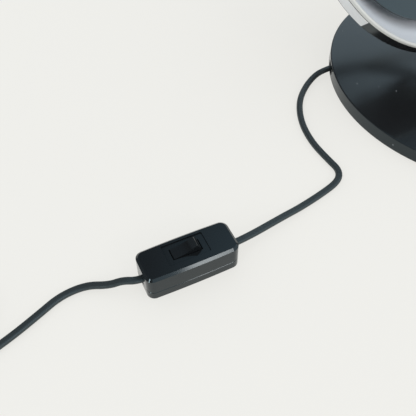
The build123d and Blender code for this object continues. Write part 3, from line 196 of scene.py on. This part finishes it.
class LampStageSettings(bpy.types.PropertyGroup):
    """Light and background of the plain studio"""

    backdrop: FloatVectorProperty(
        name="Backdrop", description="Pale colour that the camera sees", subtype="COLOR", size=3, min=0,
        max=1, default=(0.863, 0.855, 0.815),
    )
    floor_glow: FloatProperty(
        name="Floor glow", description="Share of the backdrop's colour that the floor shows by itself",
        default=0.792, min=0, max=1,
    )
    sky: FloatVectorProperty(
        name="Sky", description="Soft light from all sides", subtype="COLOR", size=3, min=0, max=2,
        default=(0.96, 0.99, 1.02),
    )
    sky_strength: FloatProperty(
        name="Sky strength", description="Level of the soft light", default=1.12, min=0, max=5,
    )
    room_low: FloatVectorProperty(
        name="Room low", description="What glossy surfaces mirror near the horizon", subtype="COLOR",
        size=3, min=0, max=2, default=(1.00, 1.14, 1.26),
    )
    room_high: FloatVectorProperty(
        name="Room high", description="What glossy surfaces mirror half way up", subtype="COLOR", size=3,
        min=0, max=2, default=(0.03, 0.04, 0.05),
    )
    room_top: FloatVectorProperty(
        name="Room top", description="What glossy surfaces mirror overhead", subtype="COLOR", size=3,
        min=0, max=2, default=(0.50, 0.69, 0.84),
    )


# Shader node groups


def new_group(name, inputs, outputs):
    """A shader node group with named sockets, and its input and output nodes."""
    group = bpy.data.node_groups.new(name, "ShaderNodeTree")
    for label, kind, default in inputs:
        socket = group.interface.new_socket(name=label, in_out="INPUT", socket_type=kind)
        socket.default_value = default
    for label, kind in outputs:
        group.interface.new_socket(name=label, in_out="OUTPUT", socket_type=kind)
    return group, group.nodes.new("NodeGroupInput"), group.nodes.new("NodeGroupOutput")


def grain_group():
    """Fine moulded or painted grain: a height, a roughness and a patchy mask that change over the surface."""
    group, inlet, outlet = new_group(
        "Surface Grain",
        [
            ("Grain Scale", "NodeSocketFloat", 900.0),
            ("Patch Scale", "NodeSocketFloat", 25.0),
            ("Rough Low", "NodeSocketFloat", 0.2),
            ("Rough High", "NodeSocketFloat", 0.3),
        ],
        [("Height", "NodeSocketFloat"), ("Roughness", "NodeSocketFloat"), ("Patch", "NodeSocketFloat")],
    )
    nodes, links = group.nodes, group.links
    place = nodes.new("ShaderNodeTexCoord")
    fine = nodes.new("ShaderNodeTexNoise")
    fine.inputs["Detail"].default_value = 3.0
    patch = nodes.new("ShaderNodeTexNoise")
    patch.inputs["Detail"].default_value = 4.0
    spread = nodes.new("ShaderNodeMapRange")
    links.new(place.outputs["Object"], fine.inputs["Vector"])
    links.new(place.outputs["Object"], patch.inputs["Vector"])
    links.new(inlet.outputs["Grain Scale"], fine.inputs["Scale"])
    links.new(inlet.outputs["Patch Scale"], patch.inputs["Scale"])
    links.new(patch.outputs["Fac"], spread.inputs["Value"])
    spread.inputs["From Min"].default_value = 0.35
    spread.inputs["From Max"].default_value = 0.65
    links.new(inlet.outputs["Rough Low"], spread.inputs["To Min"])
    links.new(inlet.outputs["Rough High"], spread.inputs["To Max"])
    links.new(fine.outputs["Fac"], outlet.inputs["Height"])
    links.new(spread.outputs["Result"], outlet.inputs["Roughness"])
    links.new(patch.outputs["Fac"], outlet.inputs["Patch"])
    return group


def dust_group():
    """Sparse pale specks of dust, as a mask."""
    group, inlet, outlet = new_group(
        "Dust Specks",
        [("Speck Scale", "NodeSocketFloat", 150.0), ("Speck Size", "NodeSocketFloat", 0.055)],
        [("Dust", "NodeSocketFloat")],
    )
    nodes, links = group.nodes, group.links
    place = nodes.new("ShaderNodeTexCoord")
    cells = nodes.new("ShaderNodeTexVoronoi")
    where = nodes.new("ShaderNodeTexNoise")
    where.inputs["Scale"].default_value = 60.0
    near = nodes.new("ShaderNodeMath")
    near.operation = "LESS_THAN"
    gate = nodes.new("ShaderNodeMath")
    gate.operation = "GREATER_THAN"
    gate.inputs[1].default_value = 0.55
    both = nodes.new("ShaderNodeMath")
    both.operation = "MULTIPLY"
    links.new(place.outputs["Object"], cells.inputs["Vector"])
    links.new(place.outputs["Object"], where.inputs["Vector"])
    links.new(inlet.outputs["Speck Scale"], cells.inputs["Scale"])
    links.new(cells.outputs["Distance"], near.inputs[0])
    links.new(inlet.outputs["Speck Size"], near.inputs[1])
    links.new(where.outputs["Fac"], gate.inputs[0])
    links.new(near.outputs[0], both.inputs[0])
    links.new(gate.outputs[0], both.inputs[1])
    links.new(both.outputs[0], outlet.inputs["Dust"])
    return group


def shared_group(name, maker):
    """A node group that is built once."""
    return bpy.data.node_groups.get(name) or maker()


# Materials

# The tint of the sheen on paint, plastic and dark glass, and the colour of dust
COOL_SHEEN = (0.73, 0.94, 1.0, 1)
DUST_COLOR = (0.35, 0.36, 0.37, 1)


def new_material(name):
    """A material with only its Principled shader and its output."""
    material = bpy.data.materials.new(name)
    material.use_nodes = True
    shader = material.node_tree.nodes["Principled BSDF"]
    return material, shader


def shade(color, factor):
    """A colour made darker or lighter by a factor."""
    return tuple(min(channel * factor, 1) for channel in color)


def add_grain(material, shader, grain_scale, patch_scale, rough, bump, distance=0.00005):
    """Puts the shared grain on a material's roughness and normal."""
    nodes, links = material.node_tree.nodes, material.node_tree.links
    grain = nodes.new("ShaderNodeGroup")
    grain.node_tree = shared_group("Surface Grain", grain_group)
    grain.inputs["Grain Scale"].default_value = grain_scale
    grain.inputs["Patch Scale"].default_value = patch_scale
    grain.inputs["Rough Low"].default_value = rough[0]
    grain.inputs["Rough High"].default_value = rough[1]
    relief = nodes.new("ShaderNodeBump")
    relief.inputs["Strength"].default_value = bump
    relief.inputs["Distance"].default_value = distance
    links.new(grain.outputs["Height"], relief.inputs["Height"])
    links.new(grain.outputs["Roughness"], shader.inputs["Roughness"])
    links.new(relief.outputs["Normal"], shader.inputs["Normal"])
    return grain


def tint_by_patch(material, shader, grain, color, darker, lighter):
    """Lets a colour drift between a darker and a lighter tone in soft patches."""
    nodes, links = material.node_tree.nodes, material.node_tree.links
    mix = nodes.new("ShaderNodeMix")
    mix.data_type = "RGBA"
    mix.inputs["A"].default_value = (*shade(color, darker), 1)
    mix.inputs["B"].default_value = (*shade(color, lighter), 1)
    links.new(grain.outputs["Patch"], mix.inputs["Factor"])
    links.new(mix.outputs["Result"], shader.inputs["Base Color"])
    return mix


def add_dust(material, shader, mix):
    """Lays sparse pale dust over a material's colour."""
    nodes, links = material.node_tree.nodes, material.node_tree.links
    dust = nodes.new("ShaderNodeGroup")
    dust.node_tree = shared_group("Dust Specks", dust_group)
    cover = nodes.new("ShaderNodeMix")
    cover.data_type = "RGBA"
    cover.inputs["B"].default_value = DUST_COLOR
    links.new(dust.outputs["Dust"], cover.inputs["Factor"])
    links.new(mix.outputs["Result"], cover.inputs["A"])
    links.new(cover.outputs["Result"], shader.inputs["Base Color"])


def satin_paint(name, color, rough, dusty=False):
    """Satin paint with a fine orange peel, soft tone drift and, where asked, a few specks of dust."""
    material, shader = new_material(name)
    shader.inputs["Specular IOR Level"].default_value = 0.5
    shader.inputs["Specular Tint"].default_value = COOL_SHEEN
    grain = add_grain(material, shader, grain_scale=1400.0, patch_scale=18.0, rough=rough, bump=0.02)
    mix = tint_by_patch(material, shader, grain, color, darker=0.9, lighter=1.12)
    if dusty:
        add_dust(material, shader, mix)
    return material


def moulded_plastic(name, color, rough, specular=0.6, bump=0.05):
    """Moulded plastic with a faint grain and slightly uneven gloss."""
    material, shader = new_material(name)
    shader.inputs["Specular IOR Level"].default_value = specular
    shader.inputs["Specular Tint"].default_value = COOL_SHEEN
    grain = add_grain(material, shader, grain_scale=1100.0, patch_scale=40.0, rough=rough, bump=bump)
    tint_by_patch(material, shader, grain, color, darker=0.92, lighter=1.1)
    return material


def bare_metal(name, color, rough, bump=0.08):
    """Plated or machined metal with fine marks."""
    material, shader = new_material(name)
    shader.inputs["Metallic"].default_value = 1.0
    grain = add_grain(material, shader, grain_scale=700.0, patch_scale=55.0, rough=rough, bump=bump)
    tint_by_patch(material, shader, grain, color, darker=0.93, lighter=1.04)
    return material


def clear_glass(name, color, rough):
    """Lamp glass that lets light through."""
    material, shader = new_material(name)
    shader.inputs["Transmission Weight"].default_value = 1.0
    shader.inputs["IOR"].default_value = 1.45
    grain = add_grain(material, shader, grain_scale=300.0, patch_scale=60.0, rough=rough, bump=0.03)
    tint_by_patch(material, shader, grain, color, darker=0.97, lighter=1.0)
    return material


def dark_glass(name, color):
    """Dark coated glass that reflects softly."""
    material, shader = new_material(name)
    shader.inputs["Specular IOR Level"].default_value = 0.5
    shader.inputs["Specular Tint"].default_value = COOL_SHEEN
    shader.inputs["Coat Weight"].default_value = 0.3
    shader.inputs["Coat Roughness"].default_value = 0.08
    grain = add_grain(material, shader, grain_scale=500.0, patch_scale=12.0, rough=(0.14, 0.22), bump=0.03)
    tint_by_patch(material, shader, grain, color, darker=0.94, lighter=1.08)
    return material


def felt(name, color):
    """Short black felt."""
    material, shader = new_material(name)
    shader.inputs["Sheen Weight"].default_value = 0.4
    grain = add_grain(
        material, shader, grain_scale=1600.0, patch_scale=90.0, rough=(0.85, 1.0), bump=0.6, distance=0.0004,
    )
    tint_by_patch(material, shader, grain, color, darker=0.7, lighter=1.5)
    return material


def rough_casting(name, color):
    """Sand cast iron under a thin primer."""
    material, shader = new_material(name)
    grain = add_grain(
        material, shader, grain_scale=420.0, patch_scale=35.0, rough=(0.6, 0.8), bump=0.5, distance=0.0003,
    )
    tint_by_patch(material, shader, grain, color, darker=0.7, lighter=1.2)
    return material


def either(nodes, links, first, second):
    """A mask that is on where either of two masks is."""
    larger = nodes.new("ShaderNodeMath")
    larger.operation = "MAXIMUM"
    links.new(first, larger.inputs[0])
    links.new(second, larger.inputs[1])
    return larger.outputs[0]


# Pieces


def polyline_of(route_points, name):
    """Points along a smooth spline whose control points are the route's own."""
    curve = bpy.data.curves.new(name, "CURVE")
    curve.dimensions = "3D"
    curve.resolution_u = ROUTE_RESOLUTION
    spline = curve.splines.new("NURBS")
    spline.points.add(len(route_points) - 1)
    for point, place in zip(spline.points, route_points):
        point.co = (*place, 1)
    spline.order_u = ROUTE_ORDER
    spline.use_endpoint_u = True
    holder = bpy.data.objects.new(name, curve)
    bpy.context.scene.collection.objects.link(holder)
    bpy.context.view_layer.update()
    mesh = bpy.data.meshes.new_from_object(holder)
    followed = [vertex.co.copy() for vertex in mesh.vertices]
    bpy.data.objects.remove(holder)
    bpy.data.meshes.remove(mesh)
    return followed


def cord_outline(settings):
    """The flat cord's section: two round cores side by side with a shallow groove between them."""
    half_width = settings.width / 2
    half_thick = settings.thickness / 2
    shift = half_width - half_thick
    outline = []
    for step in range(settings.sides):
        angle = 2 * math.pi * step / settings.sides
        across = half_thick * math.cos(angle) + shift * max(-1, min(1, math.cos(angle) * CORE_SPREAD))
        high = half_thick * math.sin(angle)
        groove = settings.groove * math.exp(-((across / (settings.width * GROOVE_SHARE)) ** 2))
        outline.append((across, high - math.copysign(min(groove, abs(high)), high)))
    return outline


def sweep_flat(name, followed, outline):
    """A closed mesh that follows points with a flat section kept level."""
    shape = bmesh.new()
    rings = []
    for index, place in enumerate(followed):
        before = followed[max(index - 1, 0)]
        after = followed[min(index + 1, len(followed) - 1)]
        onward = (after - before).normalized()
        side = onward.cross(Vector((0, 0, 1))).normalized()
        up = side.cross(onward)
        rings.append([shape.verts.new(place + side * across + up * high) for across, high in outline])
    count = len(outline)
    for ring, following in zip(rings, rings[1:]):
        for step in range(count):
            beside = (step + 1) % count
            face = shape.faces.new((ring[step], following[step], following[beside], ring[beside]))
            face.smooth = True
    shape.faces.new(rings[0])
    shape.faces.new(list(reversed(rings[-1])))
    bmesh.ops.recalc_face_normals(shape, faces=shape.faces)
    mesh = bpy.data.meshes.new(name)
    shape.to_mesh(mesh)
    shape.free()
    piece = bpy.data.objects.new(name, mesh)
    bpy.context.scene.collection.objects.link(piece)
    return piece


def switch_spot(along):
    """A place on the switch's cord axis, counted from its middle towards the lamp."""
    return (
        SWITCH_PLACE[0] + along * math.cos(SWITCH_TURN),
        SWITCH_PLACE[1] + along * math.sin(SWITCH_TURN),
        SWITCH_CORD_HEIGHT,
    )


def coil_spot(turns):
    """A place on the coil after a number of turns."""
    middle = COIL_SPIRAL_TURNS + COIL_CLIMB_TURNS / 2
    inward = min(turns, 2 * middle - turns)
    radius = COIL_OUTER_RADIUS - COIL_PITCH * inward
    climbed = min(max((turns - COIL_SPIRAL_TURNS) / COIL_CLIMB_TURNS, 0), 1)
    height = COIL_LOW + COIL_LIFT * (1 - math.cos(math.pi * climbed)) / 2
    angle = COIL_START_ANGLE - 2 * math.pi * turns
    x, y = COIL_CENTRE
    return Vector((x + radius * math.cos(angle), y + radius * math.sin(angle), height))


def coil_route():
    """The coil's own points, with the straight ends that lead in and out."""
    all_turns = 2 * COIL_SPIRAL_TURNS + COIL_CLIMB_TURNS
    steps = round(all_turns * COIL_STEPS_PER_TURN)
    turns = [coil_spot(all_turns * step / steps) for step in range(steps + 1)]
    arriving = (coil_spot(COIL_SMALL_STEP) - coil_spot(0)).normalized()
    leaving = (coil_spot(all_turns) - coil_spot(all_turns - COIL_SMALL_STEP)).normalized()
    lead_in = turns[0] - arriving * (COIL_ARRIVING_RUN + COIL_END_STRAIGHT)
    lead_out = turns[-1] + leaving * (COIL_END_STRAIGHT + COIL_LEAVING_RUN)
    return [lead_in, *turns, lead_out]


class OBJECT_OT_lamp_camera(bpy.types.Operator):
    """Adds the camera at the photograph's viewing angle"""

    bl_idname = "object.lamp_camera"
    bl_label = "Camera"

    def execute(self, context):
        bpy.ops.object.camera_add()
        camera = context.object
        camera.name = "view_camera"
        camera.data.sensor_width = SENSOR_WIDTH
        camera.data.lens = FOCAL_PIXELS * SENSOR_WIDTH / PHOTO_SIDE
        camera.data.shift_x = -HALF_PIXEL
        camera.data.shift_y = HALF_PIXEL
        camera.data.clip_start = CLIP_NEAR
        camera.data.clip_end = CLIP_FAR
        down = math.radians(CAMERA_DOWN)
        turn = Matrix.Rotation(math.radians(90) - down, 4, "X")
        roll = Matrix.Rotation(math.radians(CAMERA_ROLL), 4, "Z")
        camera.matrix_world = Matrix.Translation(CAMERA_PLACE) @ turn @ roll
        context.scene.camera = camera
        return {"FINISHED"}


class OBJECT_OT_lamp_cord(bpy.types.Operator):
    """Adds the flat cord: base to switch, and switch to plug with its put-away coil"""

    bl_idname = "object.lamp_cord"
    bl_label = "Cord"

    def execute(self, context):
        settings = context.scene.lamp_cord
        outline = cord_outline(settings)
        finish = moulded_plastic(
            "cord_sleeve", context.scene.lamp_finish.cord, rough=(0.36, 0.46), specular=0.6, bump=0.10,
        )

        lamp_side = [
            CORD_EXIT,
            *LAMP_SIDE_POINTS,
            switch_spot(SWITCH_CORD_END + SWITCH_LAMP_RUN),
            switch_spot(SWITCH_CORD_END),
        ]
        lead, followed = self.lay("lamp_side", lamp_side, outline, finish)
        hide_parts("cord_lamp_to_switch")

        plug_side = [
            switch_spot(-SWITCH_CORD_END),
            switch_spot(-SWITCH_CORD_END - SWITCH_COIL_RUN),
            *COIL_SIDE_POINTS,
            *coil_route(),
            *PLUG_SIDE_POINTS,
        ]
        lead, followed = self.lay("plug_side", plug_side, outline, finish)
        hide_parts("cord_switch_to_coil", "cord_coil", "cord_coil_to_plug")
        return {"FINISHED"}

    def lay(self, side, route_points, outline, finish):
        """One run of the cord on the base's body, with the points that it follows."""
        followed = polyline_of(route_points, side + "_route")
        lead = sweep_flat(side + "_cord", followed, outline)
        lead.data.materials.append(finish)
        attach(lead, "base")
        return lead, followed


class OBJECT_OT_lamp_finishes(bpy.types.Operator):
    """Gives every carried-over piece its finish"""

    bl_idname = "object.lamp_finishes"
    bl_label = "Finishes"

    def execute(self, context):
        colours = context.scene.lamp_finish
        finishes = {
            "dark_paint": satin_paint("base_paint", colours.paint, rough=(0.15, 0.2), dusty=True),
            "black_metal": satin_paint("arm_paint", (0.012, 0.013, 0.014), rough=(0.3, 0.4)),
            "tube_chrome": bare_metal("tube_chrome", (0.72, 0.73, 0.74), rough=(0.06, 0.12), bump=0.02),
            "cast_iron": rough_casting("cast_weight", (0.09, 0.09, 0.095)),
            "zinc_steel": bare_metal("zinc_steel", (0.55, 0.56, 0.57), rough=(0.25, 0.4)),
            "felt_pad": felt("felt", (0.012, 0.012, 0.013)),
            "black_plastic": moulded_plastic(
                "switch_plastic", colours.plastic, rough=(0.08, 0.13), specular=0.42, bump=0.01,
            ),
            "washer_plastic": moulded_plastic("nylon", (0.62, 0.61, 0.57), rough=(0.4, 0.5)),
            "white_plastic": moulded_plastic("terminal_plastic", (0.6, 0.6, 0.57), rough=(0.35, 0.45)),
            "cream_ring": moulded_plastic(
                "lip_enamel", colours.lip, rough=(0.3, 0.38), specular=0.5, bump=0.04,
            ),
            "white_dish": satin_paint("dish_enamel", colours.dish, rough=(0.3, 0.4)),
            "dark_glass": dark_glass("dark_disc", (0.022, 0.030, 0.033)),
            "lamp_glass": clear_glass("lamp_glass", (0.96, 0.96, 0.94), rough=(0.02, 0.05)),
            "ceramic": moulded_plastic("ceramic", (0.7, 0.69, 0.65), rough=(0.25, 0.35)),
            "rubber": moulded_plastic(
                "grommet_rubber", (0.012, 0.012, 0.012), rough=(0.6, 0.75), specular=0.4,
            ),
            "label_grey": moulded_plastic(
                "strip_film", colours.label, rough=(0.4, 0.5), specular=0.4, bump=0.03,
            ),
            "brass": bare_metal("brass", (0.62, 0.47, 0.22), rough=(0.2, 0.35)),
            "cord_pvc": moulded_plastic(
                "inner_cord", colours.cord, rough=(0.36, 0.46), specular=0.6, bump=0.10,
            ),
        }
        for subpart in frame["record"]["subparts"]:
            node = frame["nodes"][subpart["node"]]
            node.data.materials.clear()
            node.data.materials.append(finishes[subpart["material_slot"]])
        return {"FINISHED"}


class OBJECT_OT_lamp_stage(bpy.types.Operator):
    """Adds the pale floor, the soft lights and the world"""

    bl_idname = "object.lamp_stage"
    bl_label = "Stage"

    def execute(self, context):
        settings = context.scene.lamp_stage
        context.scene.view_settings.view_transform = "Standard"
        bpy.ops.object.select_all(action="DESELECT")
        bpy.ops.mesh.primitive_plane_add(size=FLOOR_SIDE, location=(0, 0, -FLOOR_DROP))
        floor = context.object
        floor.name = "floor"
        bpy.ops.object.transform_apply(location=True, rotation=True, scale=True)
        floor.data.materials.append(self.floor_material(settings))
        self.world(context, settings)
        for light in SOFT_LIGHTS:
            self.soft_light(*light)
        return {"FINISHED"}

    def floor_material(self, settings):
        """Pale floor whose seen colour comes mostly from its own glow, with a faint shadow under the lamp."""
        material = bpy.data.materials.new("pale_floor")
        material.use_nodes = True
        nodes, links = material.node_tree.nodes, material.node_tree.links
        nodes.clear()
        output = nodes.new("ShaderNodeOutputMaterial")
        rays = nodes.new("ShaderNodeLightPath").outputs
        seen = either(nodes, links, rays["Is Camera Ray"], rays["Is Glossy Ray"])
        seen = either(nodes, links, seen, rays["Is Transmission Ray"])
        plain = nodes.new("ShaderNodeBsdfDiffuse")
        plain.inputs["Color"].default_value = FLOOR_COLOR
        shadowed = nodes.new("ShaderNodeBsdfDiffuse")
        shadowed.inputs["Color"].default_value = FLOOR_SHADOW_COLOR
        glow = nodes.new("ShaderNodeEmission")
        glow.inputs["Color"].default_value = (*settings.backdrop, 1)
        glow.inputs["Strength"].default_value = settings.floor_glow
        both = nodes.new("ShaderNodeAddShader")
        pick = nodes.new("ShaderNodeMixShader")
        links.new(shadowed.outputs[0], both.inputs[0])
        links.new(glow.outputs[0], both.inputs[1])
        links.new(seen, pick.inputs[0])
        links.new(plain.outputs[0], pick.inputs[1])
        links.new(both.outputs[0], pick.inputs[2])
        links.new(pick.outputs[0], output.inputs["Surface"])
        return material

    def world(self, context, settings):
        """Soft light from all sides, a room for glossy surfaces and the pale backdrop for the camera."""
        world = bpy.data.worlds.new("studio")
        context.scene.world = world
        world.use_nodes = True
        nodes, links = world.node_tree.nodes, world.node_tree.links
        nodes.clear()
        output = nodes.new("ShaderNodeOutputWorld")
        rays = nodes.new("ShaderNodeLightPath").outputs
        sky = nodes.new("ShaderNodeBackground")
        sky.inputs["Color"].default_value = (*settings.sky, 1)
        sky.inputs["Strength"].default_value = settings.sky_strength
        backdrop = nodes.new("ShaderNodeBackground")
        backdrop.inputs["Color"].default_value = (*settings.backdrop, 1)
        room = nodes.new("ShaderNodeBackground")
        place = nodes.new("ShaderNodeTexCoord")
        parts = nodes.new("ShaderNodeSeparateXYZ")
        band = nodes.new("ShaderNodeValToRGB")
        links.new(place.outputs["Generated"], parts.inputs["Vector"])
        links.new(parts.outputs["Z"], band.inputs["Fac"])
        aside = nodes.new("ShaderNodeMapRange")
        aside.inputs["From Min"].default_value, aside.inputs["To Min"].default_value = ROOM_DIM_SIDE
        aside.inputs["From Max"].default_value, aside.inputs["To Max"].default_value = ROOM_FULL_SIDE
        links.new(parts.outputs["X"], aside.inputs["Value"])
        links.new(band.outputs["Color"], room.inputs["Color"])
        links.new(aside.outputs["Result"], room.inputs["Strength"])
        steps = band.color_ramp.elements
        steps[0].position = ROOM_LOW_HEIGHT
        steps[0].color = (*settings.room_low, 1)
        steps[1].position = ROOM_HIGH_HEIGHT
        steps[1].color = (*settings.room_high, 1)
        top = steps.new(ROOM_TOP_HEIGHT)
        top.color = (*settings.room_top, 1)
        mirrored = nodes.new("ShaderNodeMixShader")
        pick = nodes.new("ShaderNodeMixShader")
        links.new(rays["Is Glossy Ray"], mirrored.inputs[0])
        links.new(sky.outputs[0], mirrored.inputs[1])
        links.new(room.outputs[0], mirrored.inputs[2])
        seen = either(nodes, links, rays["Is Camera Ray"], rays["Is Transmission Ray"])
        links.new(seen, pick.inputs[0])
        links.new(mirrored.outputs[0], pick.inputs[1])
        links.new(backdrop.outputs[0], pick.inputs[2])
        links.new(pick.outputs[0], output.inputs["Surface"])

    def soft_light(self, name, place, target, size, power, color):
        """A rectangular soft light aimed at a point."""
        bpy.ops.object.light_add(type="AREA", location=place)
        light = bpy.context.object
        light.name = name
        light.rotation_euler = (Vector(target) - Vector(place)).to_track_quat("-Z", "Y").to_euler()
        light.data.shape = "RECTANGLE"
        light.data.size = size[0]
        light.data.size_y = size[1]
        light.data.energy = power
        light.data.color = color


class VIEW3D_PT_lamp(bpy.types.Panel):
    """Steps that dress the lamp, and its settings"""

    bl_idname = "VIEW3D_PT_lamp"
    bl_label = "Lamp"
    bl_space_type = "VIEW_3D"
    bl_region_type = "UI"
    bl_category = "Lamp"

    def draw(self, context):
        column = self.layout.column()
        for operator in OPERATORS:
            column.operator(operator.bl_idname)
        scene = context.scene
        for settings in (scene.lamp_cord, scene.lamp_finish, scene.lamp_stage):
            for name in settings.__annotations__:
                column.prop(settings, name)


OPERATORS = (OBJECT_OT_lamp_camera, OBJECT_OT_lamp_cord, OBJECT_OT_lamp_finishes, OBJECT_OT_lamp_stage)
SETTINGS = (LampCordSettings, LampFinishSettings, LampStageSettings)


def register():
    """Adds the classes and the lamp's settings to Blender."""
    for item in (*SETTINGS, *OPERATORS, VIEW3D_PT_lamp):
        bpy.utils.register_class(item)
    bpy.types.Scene.lamp_cord = PointerProperty(type=LampCordSettings)
    bpy.types.Scene.lamp_finish = PointerProperty(type=LampFinishSettings)
    bpy.types.Scene.lamp_stage = PointerProperty(type=LampStageSettings)


def unregister():
    """Takes the lamp's settings and the classes away again."""
    del bpy.types.Scene.lamp_stage
    del bpy.types.Scene.lamp_finish
    del bpy.types.Scene.lamp_cord
    for item in reversed((*SETTINGS, *OPERATORS, VIEW3D_PT_lamp)):
        bpy.utils.unregister_class(item)


def main():
    """Dresses the loaded lamp."""
    register()
    bpy.ops.object.select_all(action="DESELECT")
    bpy.ops.object.lamp_camera()
    bpy.ops.object.lamp_cord()
    bpy.ops.object.lamp_finishes()
    bpy.ops.object.lamp_stage()


if __name__ == "__main__":
    main()
